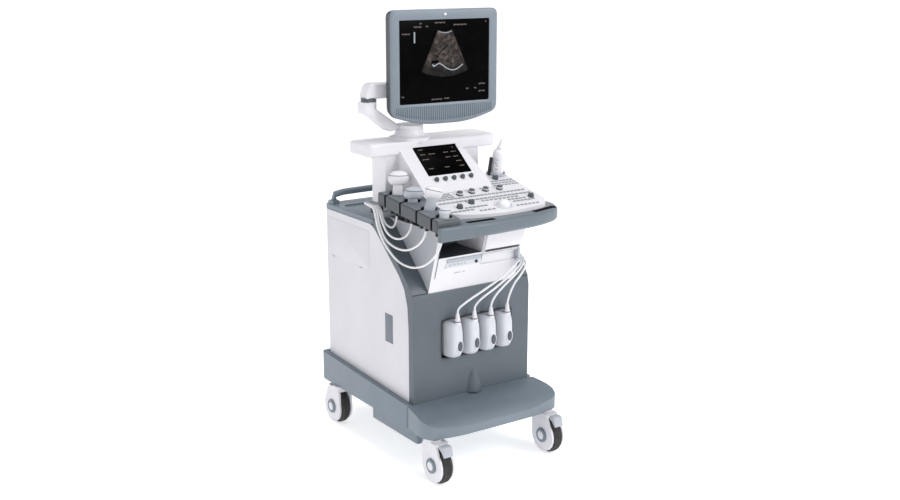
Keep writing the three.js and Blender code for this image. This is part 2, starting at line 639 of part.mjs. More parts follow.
function gelBottle() {
  const bottle = turned([[0, -5.5], [20, -5.5], [23, -3], [23, 72], [21, 84], [10, 96], [8, 98], [7, 108], [3, 128],
    [0, 128]], 'z', [0, 0, 0], 16);
  return onPlate(bottle, BOTTLE_AT.x, BOTTLE_AT.y);
}

const [plateBase, ballCavity, bottleSeat] = controlPlate();
add('console_tray', consoleTray(), SLATE);
add('control_plate', cut(plateBase, ballCavity, bottleSeat), WHITE);
add('trackball', new THREE.SphereGeometry(BALL.r, 18, 12).translate(...BALL_AT), PALE_GREY);
add('key_mat', keyMat(), PALE_GREY);
TURNING_KNOBS.forEach(([name, x, y]) => {
  add(name, onPlate(plateKnob(11, 12), x, y, GAP + 0.1), SLATE_DARK);
});
add('screen_pod', screenPod(), WHITE);
add('touch_screen', touchScreen(), GLASS_BLACK);
for (let i = 0; i < 5; i += 1) {
  add(`menu_knob_${i + 1}`, menuKnob(-79 + i * 34), SLATE_DARK);
}
add('probe_holder', probeHolder(), SLATE_DARK);
['convex_probe', 'volume_probe', 'linear_probe', 'phased_probe'].forEach((name, i) => {
  add(name, handProbe(i), i === 1 ? PALE_GREY : WHITE);
});
add('gel_bottle', gelBottle(), GEL);

// ---- monitor arm and monitor -----------------------------------------------------------------
/** Lower link: a ring on the column, rising to the left to the elbow's round boss. */
function lowerArm() {
  const base = COLUMN.top + GAP;
  const ring = disc(46, base, base + 13, 'z', [COLUMN.x, COLUMN.y, 0], 24);
  const boss = disc(26, ELBOW.low, ELBOW.high, 'z', [ELBOW.x, ELBOW.y, 0], 20);
  const profile = outline([[COLUMN.x + 30, base], [COLUMN.x - 52, base], [COLUMN.x - 74, base - 8, 8],
    [ELBOW.x - 14, ELBOW.low, 20], [ELBOW.x - 28, ELBOW.low, 8], [ELBOW.x - 28, ELBOW.high],
    [ELBOW.x - 18, ELBOW.high, 8], [COLUMN.x - 40, base + 10, 20], [COLUMN.x + 20, base + 13]]);
  const link = prism(profile, 'y', ELBOW.y - 27, ELBOW.y + 27, 4);
  return join(ring, boss, link);
}

/** Upper link: level bar from the elbow to the swivel behind the monitor. */
function upperArm() {
  const low = UPPER_ARM.bottom;
  const pivot = disc(26, low, low + 14, 'z', [ELBOW.x, ELBOW.y, 0], 20);
  const profile = outline([[ELBOW.x - 26, low + 10, 16], [ELBOW.x + 60, low + 10, 10], [SWIVEL.x + 22, low + 26, 8],
    [SWIVEL.x + 22, UPPER_ARM.top], [SWIVEL.x - 60, UPPER_ARM.top], [ELBOW.x - 6, UPPER_ARM.top + 4, 16]]);
  return join(pivot, prism(profile, 'y', ELBOW.y - 25, ELBOW.y + 25, 4));
}

/** Swivel block with two ears that hold the monitor's tilt lug. */
function monitorMount() {
  const low = UPPER_ARM.top + GAP;
  const parts = [
    disc(22, low, low + 24, 'z', [SWIVEL.x, SWIVEL.y, 0], 16),
    block(SWIVEL.x - 36, MONITOR.tiltY - 10, low + 14, SWIVEL.x + 36, SWIVEL.y + 18, low + 24),
  ];
  [-36, 26].forEach((from) => {
    const ear = outline([[MONITOR.tiltY - 10, low + 16], [SWIVEL.y + 18, low + 16], [SWIVEL.y + 4, MONITOR.tiltZ + 14, 10],
      [MONITOR.tiltY - 10, MONITOR.tiltZ + 14, 6]]);
    parts.push(prism(ear, 'x', SWIVEL.x + from, SWIVEL.x + from + 10));
  });
  const pinHole = disc(6.5, -60, 60, 'x', [SWIVEL.x, MONITOR.tiltY, MONITOR.tiltZ], 16);
  return cut(join(...parts), pinHole);
}

/** Front view of the monitor, inset all round: square shoulders and a bowed lower edge. */
function monitorOutline(inset) {
  const half = MONITOR.half - inset;
  const centre = SWIVEL.x;
  const low = MONITOR.bottom + inset;
  const corner = MONITOR.corner + inset;
  return outline([[centre - half, corner, 26], [centre - half * 0.45, low, 60], [centre + half * 0.45, low, 60],
    [centre + half, corner, 26], [centre + half, MONITOR.top - inset, 22], [centre - half, MONITOR.top - inset, 22]]);
}

function monitorBezel() {
  const frame = prism(monitorOutline(0), 'y', MONITOR.front, MONITOR.seam, 4);
  const opening = block(SWIVEL.x - LCD.half, 150, LCD.bottom, SWIVEL.x + LCD.half, 300, LCD.top);
  return cut(frame, opening);
}

function monitorBack() {
  const shell = prism(monitorOutline(3), 'y', MONITOR.seam + GAP, MONITOR.back, 5);
  const bulge = prism(rectangle(SWIVEL.x - 110, 1200, SWIVEL.x + 110, 1380, 24), 'y', MONITOR.back - 4,
    MONITOR.back + 8, 3);
  const lug = prism(outline([[MONITOR.back - 4, MONITOR.tiltZ - 16], [MONITOR.tiltY + 12, MONITOR.tiltZ - 12, 10],
    [MONITOR.tiltY + 12, MONITOR.tiltZ + 12, 10], [MONITOR.back - 4, MONITOR.tiltZ + 16]]), 'x', SWIVEL.x - 25,
  SWIVEL.x + 25);
  const pin = disc(6, -35, 35, 'x', [SWIVEL.x, MONITOR.tiltY, MONITOR.tiltZ], 16);
  const slots = [];
  for (let i = 0; i < 7; i += 1) {
    slots.push(block(SWIVEL.x - 90, MONITOR.back + 2, 1400 + i * 8, SWIVEL.x + 90, MONITOR.back + 20, 1403 + i * 8));
  }
  return join(cut(shell, ...slots), bulge, lug, pin);
}

function lcdPanel() {
  return block(SWIVEL.x - LCD.half + GAP, MONITOR.front + 3, LCD.bottom + GAP, SWIVEL.x + LCD.half - GAP,
    MONITOR.seam - 1, LCD.top - GAP);
}

add('lower_arm', lowerArm(), WHITE);
add('upper_arm', upperArm(), WHITE);
const turnedHead = new THREE.Group();
turnedHead.position.set(SWIVEL.x, SWIVEL.y, 0);
turnedHead.rotation.z = THREE.MathUtils.degToRad(MONITOR.yaw);
machine.add(turnedHead);
const head = new THREE.Group();
head.position.set(-SWIVEL.x, -SWIVEL.y, 0);
turnedHead.add(head);
add('monitor_mount', monitorMount(), WHITE, head);
add('monitor_bezel', monitorBezel(), SLATE, head);
add('monitor_back', monitorBack(), SLATE, head);
add('lcd_panel', lcdPanel(), GLASS_BLACK, head);

// ---- probe cables ------------------------------------------------------------------------------
// Each runs from its connector over the hook on the housing's right side, up behind the console,
// over the hook under the holder rack, and hangs in a loop before it rises into its probe.
const CABLE_ROUTES = {
  probe_cable_1: [[-80, -28, 513], [-79, -31, 530], [-58, -48, 556], [4, -60, 590], [70, -60, 620],
    [130, -46, 646], [162, -32, 657], [179, -14, 656], [181, 50, 686], [180, 120, 742], [181, 180, 784],
    [182, 225, 806], [166, 272, 808], [100, 288, 808], [-110, 288, 808], [-190, 274, 815], [-232, 232, 840],
    [-241, 202, 850], [-241, 187, 849], [-241, 175, 838], [-240, 166, 815], [-233, 151, 794],
    [-220, 142, 788], [-207, 141, 804], [-202.3, 143, 830], [-201.8, 143, 844]],
  probe_cable_2: [[-13, -28, 513], [-12, -31, 530], [2, -46, 556], [48, -56, 586], [100, -54, 614],
    [148, -42, 636], [174, -28, 646], [188, -12, 650], [190, 50, 684], [189, 120, 744], [189, 180, 785],
    [190, 228, 806], [172, 280, 817], [100, 297, 817], [-112, 297, 817], [-196, 282, 824], [-239, 238, 845],
    [-249, 202, 851], [-249, 187, 849], [-249, 175, 838], [-249, 160, 810], [-248, 134, 780],
    [-244, 104, 766], [-234, 76, 764], [-220, 58, 776], [-206, 51, 804], [-203.1, 53, 838.2]],
  probe_cable_3: [[54, -28, 513], [55, -31, 530], [62, -42, 556], [92, -50, 588], [132, -48, 614],
    [168, -38, 634], [186, -26, 643], [197, -10, 649], [199, 50, 684], [198, 120, 744], [198, 180, 786],
    [199, 230, 806], [180, 288, 826], [104, 306, 826], [-114, 306, 826], [-202, 290, 832], [-248, 244, 849],
    [-257, 204, 852], [-257, 187, 849], [-257.5, 175, 837], [-257, 163, 800], [-252, 138, 758],
    [-247, 94, 738], [-238, 40, 735], [-228, 4, 748], [-218, -26, 772], [-211, -40, 802], [-209.1, -42, 832.4]],
  probe_cable_4: [[121, -28, 513], [122, -31, 530], [126, -38, 556], [142, -42, 588], [168, -40, 612],
    [190, -32, 632], [202, -20, 642], [207, -4, 650], [208, 50, 684], [207, 120, 744], [207, 180, 786],
    [208, 232, 806], [188, 296, 835], [106, 315, 835], [-116, 315, 835], [-208, 298, 840], [-257, 252, 853],
    [-265, 206, 853], [-265, 187, 849], [-266, 175, 835], [-265, 160, 792], [-259, 130, 742],
    [-252, 100, 714], [-247, 60, 694], [-241, 18, 687], [-235, -18, 690], [-226, -54, 703], [-218, -88, 728],
    [-209, -112, 762], [-205, -124, 796], [-203.1, -127, 825.6]],
};
Object.entries(CABLE_ROUTES).forEach(([name, points]) => {
  add(name, tube(points, CABLE_D / 2, CABLE_D / 2, 8, 52), CABLE_WHITE);
});

export default machine;
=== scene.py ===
"""Looks of a cart-type ultrasound machine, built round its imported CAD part.

Metres, +Z up, front towards -Y, the same frame as the part. Shapes are worked out in the
machine's own millimetres, whose origin is on the floor below the front of the body, and
placed() brings them into the frame.
"""
import json
import math

import bmesh
import bpy
import numpy as np
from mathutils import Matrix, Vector

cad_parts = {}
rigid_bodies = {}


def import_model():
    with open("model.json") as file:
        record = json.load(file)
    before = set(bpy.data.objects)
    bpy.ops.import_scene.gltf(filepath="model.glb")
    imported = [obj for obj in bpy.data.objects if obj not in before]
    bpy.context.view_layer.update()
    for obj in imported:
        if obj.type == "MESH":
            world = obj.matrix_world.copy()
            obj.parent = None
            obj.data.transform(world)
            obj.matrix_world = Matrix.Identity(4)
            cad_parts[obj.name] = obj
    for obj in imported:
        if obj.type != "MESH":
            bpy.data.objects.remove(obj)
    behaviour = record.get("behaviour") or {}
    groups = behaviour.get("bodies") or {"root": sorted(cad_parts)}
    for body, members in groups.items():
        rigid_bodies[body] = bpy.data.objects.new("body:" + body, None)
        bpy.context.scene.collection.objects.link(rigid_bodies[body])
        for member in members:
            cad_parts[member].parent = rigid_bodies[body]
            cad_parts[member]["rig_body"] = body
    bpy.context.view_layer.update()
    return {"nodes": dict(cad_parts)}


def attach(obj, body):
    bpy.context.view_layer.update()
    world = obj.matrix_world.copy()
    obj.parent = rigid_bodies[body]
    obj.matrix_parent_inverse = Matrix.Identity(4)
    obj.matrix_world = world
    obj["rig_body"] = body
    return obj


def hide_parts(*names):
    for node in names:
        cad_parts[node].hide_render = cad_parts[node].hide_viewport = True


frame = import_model()


def linked(name, data):
    """A new object with this data, put into the scene."""
    made = bpy.data.objects.new(name, data)
    bpy.context.scene.collection.objects.link(made)
    return made


SHIFT = np.array([-6.3, -194.92, 0.0])      # machine millimetres to the part's frame
MM = 0.001

# ---- camera ----
camera = linked("camera", bpy.data.cameras.new("camera"))
camera.location = (-2.1863, -3.26892, 1.657)
camera.rotation_euler = (math.radians(75.9), 0, math.radians(-34.2))
camera.data.sensor_width = 36
camera.data.lens = 47.64
camera.data.clip_end = 200
bpy.context.scene.camera = camera

# ---- materials ----


class Nodes:
    """A short way to add and join the nodes of one material."""

    def __init__(self, name):
        self.material = bpy.data.materials.new(name)
        self.material.use_nodes = True
        self.tree = self.material.node_tree
        self.shader = self.tree.nodes["Principled BSDF"]
        self.place = self.add("ShaderNodeTexCoord").outputs["Object"]

    def add(self, kind, inputs=None, **settings):
        node = self.tree.nodes.new(kind)
        for key, value in settings.items():
            setattr(node, key, value)
        for key, value in (inputs or {}).items():
            if isinstance(value, bpy.types.NodeSocket):
                self.tree.links.new(value, node.inputs[key])
            else:
                node.inputs[key].default_value = value
        return node

    def noise(self, scale, detail=3.0, roughness=0.55, place=None):
        return self.add("ShaderNodeTexNoise", {
            "Vector": place or self.place, "Scale": scale, "Detail": detail, "Roughness": roughness,
        }).outputs["Fac"]

    def ramp(self, fac, stops):
        node = self.add("ShaderNodeValToRGB", {"Fac": fac})
        elements = node.color_ramp.elements
        while len(elements) < len(stops):
            elements.new(0.5)
        for element, (at, colour) in zip(elements, stops):
            element.position = at
            element.color = (*colour, 1.0)
        return node.outputs["Color"]

    def span(self, value, low, high):
        """Value from 0 to 1 brought to between low and high."""
        node = self.add("ShaderNodeMapRange", {"Value": value, "To Min": low, "To Max": high})
        return node.outputs["Result"]

    def bump(self, height, depth, strength=1.0, before=None):
        node = self.add("ShaderNodeBump", {"Height": height, "Distance": depth, "Strength": strength})
        if before is not None:
            self.tree.links.new(before, node.inputs["Normal"])
        return node.outputs["Normal"]

    def join(self, value, socket):
        self.tree.links.new(value, self.shader.inputs[socket])


def shade(colour, factor):
    return tuple(min(1.0, c * factor) for c in colour)


def moulded(name, colour, rough=0.42, grain=1500.0, relief=0.00006, spread=0.05, coat=0.0):
    """Moulded plastic: a fine spark-eroded grain, soft patches of tone and of gloss, and a thin
    scatter of paler scuffs."""
    n = Nodes(name)
    patches = n.noise(9.0, 4.0)
    tone = n.ramp(patches, [(0.3, shade(colour, 1 - spread)), (0.7, shade(colour, 1 + spread))])
    specks = n.noise(700.0, 2.0)
    scuff = n.ramp(specks, [(0.66, (0, 0, 0)), (0.8, (1, 1, 1))])
    mixed = n.add("ShaderNodeMix", {"Factor": n.span(scuff, 0.0, 0.16)}, data_type="RGBA")
    n.tree.links.new(tone, mixed.inputs["A"])
    mixed.inputs["B"].default_value = (*shade(colour, 1.35), 1.0)
    n.join(mixed.outputs["Result"], "Base Color")
    n.join(n.span(n.noise(60.0, 5.0), rough - 0.07, rough + 0.09), "Roughness")
    fine = n.bump(n.noise(grain, 2.0), relief)
    n.join(n.bump(n.noise(28.0, 2.0), 0.0002, 0.5, fine), "Normal")
    n.shader.inputs["Coat Weight"].default_value = coat
    n.shader.inputs["Specular IOR Level"].default_value = 0.45
    return n.material


def sheet_metal(name, colour, rough):
    """Rolled sheet: long faint streaks along X, and cloudy patches of gloss."""
    n = Nodes(name)
    stretched = n.add("ShaderNodeMapping", {"Vector": n.place, "Scale": (4.0, 260.0, 260.0)})
    streaks = n.noise(6.0, 4.0, place=stretched.outputs["Vector"])
    n.join(n.ramp(streaks, [(0.3, shade(colour, 0.85)), (0.7, shade(colour, 1.1))]), "Base Color")
    n.join(n.span(n.noise(40.0), rough - 0.08, rough + 0.12), "Roughness")
    n.join(n.bump(streaks, 0.00005), "Normal")
    n.shader.inputs["Metallic"].default_value = 0.9
    return n.material


def tread_rubber(name, colour):
    """Tyre rubber: dull, with dusty patches and a coarse skin."""
    n = Nodes(name)
    dust = n.noise(55.0, 6.0, 0.7)
    n.join(n.ramp(dust, [(0.42, colour), (0.75, shade(colour, 2.6))]), "Base Color")
    n.join(n.span(dust, 0.6, 0.85), "Roughness")
    n.join(n.bump(n.noise(420.0, 3.0), 0.00015), "Normal")
    return n.material


def polished_screen(name, colour):
    """Black display glass: a very smooth face with a faint haze of finger marks."""
    n = Nodes(name)
    haze = n.noise(22.0, 6.0, 0.65)
    n.join(n.ramp(haze, [(0.4, colour), (0.8, shade(colour, 2.2))]), "Base Color")
    n.join(n.span(haze, 0.16, 0.32), "Roughness")
    n.join(n.bump(n.noise(160.0), 0.00001), "Normal")
    n.shader.inputs["Specular IOR Level"].default_value = 0.015
    return n.material


def glowing(name, colour, strength, speckle=None):
    """Lit marks of a display. With speckle, the light is broken up by fine noise as echoes are."""
    n = Nodes(name)
    n.shader.inputs["Base Color"].default_value = (0.01, 0.01, 0.01, 1)
    n.shader.inputs["Roughness"].default_value = 0.5
    n.shader.inputs["Specular IOR Level"].default_value = 0.02
    n.shader.inputs["Emission Strength"].default_value = strength
    if speckle is None:
        n.join(n.ramp(n.noise(900.0), [(0.3, shade(colour, 0.8)), (0.7, colour)]), "Emission Color")
        return n.material
    radial = n.add("ShaderNodeUVMap", uv_map="sweep").outputs["UV"]
    split = n.add("ShaderNodeSeparateXYZ", {"Vector": radial})
    grain = n.noise(speckle, 4.0, 0.7)
    cloud = n.noise(70.0, 3.0)
    both = n.add("ShaderNodeMath", {0: grain, 1: cloud}, operation="MULTIPLY").outputs["Value"]
    echo = n.ramp(both, [(0.2, shade(colour, 0.35)), (0.27, colour), (0.36, shade(colour, 2.6))])
    fade = n.ramp(split.outputs["Y"], [(0.0, (1, 1, 1)), (0.70, (0.9, 0.9, 0.9)), (0.86, (0, 0, 0))])
    dots = n.ramp(n.noise(1100.0, 1.0), [(0.56, (0, 0, 0)), (0.6, (0.9, 0.9, 0.9))])
    edge = n.add("ShaderNodeMix", {"Factor": 1.0}, data_type="RGBA", blend_type="LIGHTEN")
    n.tree.links.new(fade, edge.inputs["A"])
    n.tree.links.new(dots, edge.inputs["B"])
    lit = n.add("ShaderNodeMix", {"Factor": 1.0}, data_type="RGBA", blend_type="MULTIPLY")
    n.tree.links.new(echo, lit.inputs["A"])
    n.tree.links.new(edge.outputs["Result"], lit.inputs["B"])
    n.join(lit.outputs["Result"], "Emission Color")
    return n.material


SLATE = moulded("slate_shell", (0.175, 0.212, 0.25), 0.4)
SLATE_DEEP = moulded("slate_front", (0.095, 0.116, 0.136), 0.42)
SLATE_RIM = moulded("slate_rim", (0.125, 0.152, 0.178), 0.36)
CHARCOAL = moulded("charcoal_rack", (0.072, 0.083, 0.095), 0.45)
KNOB_GREY = moulded("knob_grey", (0.075, 0.09, 0.105), 0.35)
WHITE = moulded("warm_white_shell", (0.71, 0.70, 0.74), 0.38, spread=0.02)
SIDE_WHITE = moulded("side_panel_white", (0.64, 0.63, 0.67), 0.42, spread=0.03)
# Darker grey copy of the white shell: painted shade for the housing's left-facing side.
HOUSING_SHADE = moulded("housing_painted_shade_grey", (0.40, 0.415, 0.45), 0.42)
# Near-black slate: painted shade for the monitor's back and the side walls of its bezel.
SHADE_GREY = moulded("monitor_painted_shade_grey", (0.062, 0.067, 0.073), 0.45)
VENT_GREY = moulded("vent_grey", (0.17, 0.19, 0.225), 0.5)
# Paler grey: a painted highlight for the rack's upward faces.
RACK_TOP_HIGHLIGHT = moulded("rack_top_painted_highlight", (0.15, 0.17, 0.19), 0.42)
PALE = moulded("pale_grey_shell", (0.43, 0.455, 0.50), 0.4)
PALE_WHITE = moulded("connector_shell", (0.60, 0.62, 0.66), 0.32, spread=0.02)
KEY_GREY = moulded("key_grey", (0.33, 0.34, 0.375), 0.45, spread=0.12)
BLACK = moulded("black_trim", (0.012, 0.012, 0.013), 0.4)
TYRE = tread_rubber("tyre_rubber", (0.022, 0.021, 0.021))
STEEL = sheet_metal("zinc_sheet", (0.55, 0.56, 0.58), 0.4)
SCREEN = polished_screen("display_black", (0.0012, 0.0011, 0.0013))
JACKET = moulded("cable_jacket", (0.78, 0.78, 0.81), 0.45, spread=0.03)
BOTTLE = moulded("bottle_white", (0.80, 0.80, 0.83), 0.28, spread=0.02, coat=0.3)
MARKS = glowing("display_marks", (0.24, 0.2, 0.18), 0.9)
ECHO = glowing("display_echo", (0.058, 0.046, 0.042), 1.0, 620.0)
BRIGHT = glowing("display_bright", (0.42, 0.47, 0.52), 1.0)

# ---- surfaces ----


def placed(points):
    """Machine millimetres to frame metres: the shift is added and the sum divided by 1000."""
    return (np.asarray(points, float).reshape(-1, 3) + SHIFT) * MM


def grid_faces(rows, columns, wrap=True, closed_rows=False):
    """Quads of a grid stored row after row; wrap joins its last column to its first."""
    r = np.arange(rows if closed_rows else rows - 1)[:, None]
    c = np.arange(columns if wrap else columns - 1)[None, :]
    after, right = (r + 1) % rows, (c + 1) % columns
    quads = np.stack([r * columns + c, r * columns + right, after * columns + right, after * columns + c], -1)
    return quads.reshape(-1, 4).tolist()


def loft(sections, ring=False):
    """Closed outlines with equal point counts, one after another, joined by quads. The two end
    outlines are closed by flat caps, or joined to each other for a ring."""
    sections = np.asarray(sections, float)
    rows, columns = sections.shape[:2]
    faces = grid_faces(rows, columns, True, ring)
    if not ring:
        last = (rows - 1) * columns
        faces += [list(range(columns))[::-1], list(range(last, last + columns))]
    return sections.reshape(-1, 3), faces


def both(*shapes):
    """Several closed shapes as one mesh's points and faces."""
    points, faces, start = [], [], 0
    for p, f in shapes:
        points.append(p)
        faces += [[i + start for i in face] for face in f]
        start += len(p)
    return np.concatenate(points), faces


def corner(before, here, after, radius, share, steps):
    """A corner between two straight sides as a parabola that leaves and rejoins them radius away
    from it, and at most a share of a side away."""
    back, ahead = before - here, after - here
    lengths = np.linalg.norm(back), np.linalg.norm(ahead)
    reach = min(radius, share * lengths[0], share * lengths[1])
    if reach <= 0:
        return here[None]
    t = np.linspace(0, 1, steps + 1)[:, None]
    start, end = here + back / lengths[0] * reach, here + ahead / lengths[1] * reach
    return (1 - t) ** 2 * start + 2 * t * (1 - t) * here + t ** 2 * end


def rounded(corners, steps=6):
    """Outline through corners (a, b, r), each rounded by r."""
    points = [np.array(k[:2], float) for k in corners]
    radii = [(*k, 0)[2] for k in corners]
    after = points[1:] + points[:1]
    return np.concatenate([corner(points[i - 1], points[i], after[i], radii[i], 0.48, steps)
                           for i in range(len(points))])


def oblong(a, b, c, d, r):
    """Rectangle from (a, b) to (c, d) as corners rounded by r."""
    return [(a, b, r), (c, b, r), (c, d, r), (a, d, r)]


def even(line, count):
    """A closed outline sampled at count equal steps of its length."""
    loop = np.vstack([line, line[:1]])
    along = np.r_[0, np.cumsum(np.linalg.norm(np.diff(loop, axis=0), axis=1))]
    at = np.arange(count) / count * along[-1]
    return np.stack([np.interp(at, along, loop[:, k]) for k in range(2)], 1)


def inset(line, distance):
    """An outline moved inwards: each point moves along the mitre of its two sides' normals."""
    area = np.sum(line[:, 0] * np.roll(line[:, 1], -1) - np.roll(line[:, 0], -1) * line[:, 1])
    ahead = np.roll(line, -1, 0) - line
    ahead /= np.maximum(np.linalg.norm(ahead, axis=1, keepdims=True), 1e-9)
    normal = np.stack([-ahead[:, 1], ahead[:, 0]], 1) * np.sign(area)
    before = np.roll(normal, 1, 0)
    mitre = (normal + before) / np.maximum(1 + np.sum(normal * before, 1, keepdims=True), 0.3)
    return line + mitre * distance


def raised(line, axis, level):
    """An outline of two axes set at a level on the third."""
    level = np.full(len(line), float(level))
    order = {"x": (level, line[:, 0], line[:, 1]), "y": (line[:, 0], level, line[:, 1]),
             "z": (line[:, 0], line[:, 1], level)}[axis]
    return np.stack(order, 1)


def prism(corners, axis, low, high, edge=1.5, steps=3, curve=6):
    """A prism of a rounded outline whose two end edges are quarter circles of radius edge: the
    outline is inset by edge times one less the sine while its level moves by one less the cosine."""
    line = rounded(corners, curve)
    turn = np.linspace(0, np.pi / 2, steps + 1)
    step_in, step_up = edge * (1 - np.sin(turn)), edge * (1 - np.cos(turn))
    levels = np.r_[low + step_up, (high - step_up)[::-1]]
    insets = np.r_[step_in, step_in[::-1]]
    return loft([raised(inset(line, i), axis, z) for i, z in zip(insets, levels)])


def bar(low, high, edge=0.6, steps=2):
    """A box from low to high, with rounded edges, built up along z."""
    (a, b, c), (d, e, f) = low, high
    edge = min(edge, (d - a) / 3, (e - b) / 3, (f - c) / 3)
    return prism(oblong(a, b, d, e, edge), "z", c, f, edge, steps, 2)


def turned(profile, centre=(0, 0, 0), axis="z", count=40, flutes=0, depth=0.0):
    """A profile of (radius, height) turned about an axis. The radius of each point may also be
    scaled by one less depth times the raised cosine of flutes times the angle. A profile that
    starts away from the axis closes on itself and gives a ring."""
    profile = np.asarray(profile, float)
    angle = np.arange(count) * 2 * np.pi / count
    wave = 1 - depth * (0.5 - 0.5 * np.cos(flutes * angle))
    r = profile[:, :1] * (np.where(profile[:, 2:3] > 0, wave, 1) if profile.shape[1] > 2 else 1)
    a, b, h = r * np.cos(angle), r * np.sin(angle), profile[:, 1:2] + 0 * angle
    order = {"z": (a, b, h), "x": (h, a, b), "y": (a, h, b)}[axis]
    return loft(np.stack(order, -1) + np.array(centre, float), ring=profile[0, 0] > 0)


def rounds(profile, radius=1.0, steps=4):
    """A turned profile with each inner corner rounded by radius."""
    p = [np.array(k, float) for k in profile]
    inner = [corner(*trio, radius, 0.45, steps) for trio in zip(p, p[1:], p[2:])]
    return np.concatenate([p[:1], *inner, p[-1:]])


def about(axis, shape, degrees, at):
    """A shape drawn round the origin, turned about an axis by some degrees and moved to a place."""
    points, faces = shape
    i, j = {"x": (1, 2), "y": (2, 0), "z": (0, 1)}[axis]
    turn = np.eye(3)
    turn[i, i] = turn[j, j] = math.cos(math.radians(degrees))
    turn[i, j] = math.sin(math.radians(degrees))
    turn[j, i] = -turn[i, j]
    return points @ turn + np.array(at, float), faces


def clean_mesh(name, shape):
    """A shape as a mesh in the part's frame, with its doubles merged and its faces turned
    outwards."""
    points, faces = shape
    mesh = bpy.data.meshes.new(name)
    mesh.from_pydata(placed(points).tolist(), [], faces)
    work = bmesh.new()
    work.from_mesh(mesh)
    bmesh.ops.remove_doubles(work, verts=work.verts, dist=2e-6)
    bmesh.ops.dissolve_degenerate(work, edges=work.edges, dist=1e-7)
    bmesh.ops.recalc_face_normals(work, faces=work.faces)
    work.to_mesh(mesh)
    work.free()
    return mesh


def piece(name, shape, material, body, replaced=(), smooth=38.0):
    """One finished piece, its shading kept sharp where two faces meet at more than smooth
    degrees."""
    return shown(name, clean_mesh(name, shape), material, body, replaced, smooth)


def shown(name, mesh, material, body, replaced=(), smooth=38.0):
    """Gives a mesh its material and its body, and hides the nodes it replaces."""
    mesh.shade_smooth()
    mesh.set_sharp_from_angle(angle=math.radians(smooth))
    mesh.materials.append(material)
    made = linked(name, mesh)
    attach(made, body)
    if replaced:
        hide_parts(*replaced)
    return made


def refined(node, material, edge=1.2, segments=2, sharp=32.0):
    """A CAD node's own shape with its corners rounded: its loose triangles are merged, flat
    neighbours are joined, and every edge sharper than sharp degrees gets a bevel of width edge."""
    source = frame["nodes"][node]
    mesh = source.data.copy()
    mesh.materials.clear()
    work = bmesh.new()
    work.from_mesh(mesh)
    bmesh.ops.remove_doubles(work, verts=work.verts, dist=1e-5)
    bmesh.ops.dissolve_limit(work, angle_limit=math.radians(0.6), verts=work.verts, edges=work.edges)
    work.to_mesh(mesh)
    work.free()
    made = shown(f"{node}_shell", mesh, material, source["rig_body"], (node,), 40.0)
    bevel = made.modifiers.new("rounding", "BEVEL")
    bevel.width = edge * MM
    bevel.segments = segments
    bevel.limit_method = "ANGLE"
    bevel.angle_limit = math.radians(sharp)
    bevel.use_clamp_overlap = True
    bevel.harden_normals = True
    return made


def tinted(made, material, rule):
    """Gives one more material to those faces of a piece that a rule picks. The rule reads a
    face's centre in machine millimetres and its normal."""
    made.data.materials.append(material)
    last = len(made.data.materials) - 1
    for face in made.data.polygons:
        x, y, z = face.center / MM - Vector(SHIFT)
        if rule(x, y, z, face.normal):
            face.material_index = last


# ---- console planes ----
PLATE_RISE, FACE_RISE = 0.236, 0.792
PLATE_TILT, FACE_TILT = math.degrees(math.atan(PLATE_RISE)), math.degrees(math.atan(FACE_RISE))
SWIVEL = np.array([31.0, 292.0, 0.0])
HEAD_TURN = -4.2                            # degrees


def plate_height(y):
    """Height of the control plate over y: a plane that rises by PLATE_RISE for each millimetre."""
    return 862 + PLATE_RISE * (y + 100)


def face_height(y):
    """Height of the screen pod's face over y: a plane that rises by FACE_RISE."""
    return 932 + FACE_RISE * (y - 91)


def on_plate(shape, x, y, lift=0.0):
    """A shape drawn round the origin, stood on the control plate at x, y."""
    return about("x", shape, PLATE_TILT, (x, y, plate_height(y) + lift))


def on_face(shape, x, y, lift=0.0):
    """A shape drawn round the origin, stood on the pod's face at x, y."""
    return about("x", shape, FACE_TILT, (x, y, face_height(y) + lift))


def headed(shape):
    """A shape of the monitor, drawn square to the machine, turned about the swivel by its yaw."""
    points, faces = shape
    return about("z", (points - SWIVEL, faces), HEAD_TURN, SWIVEL)


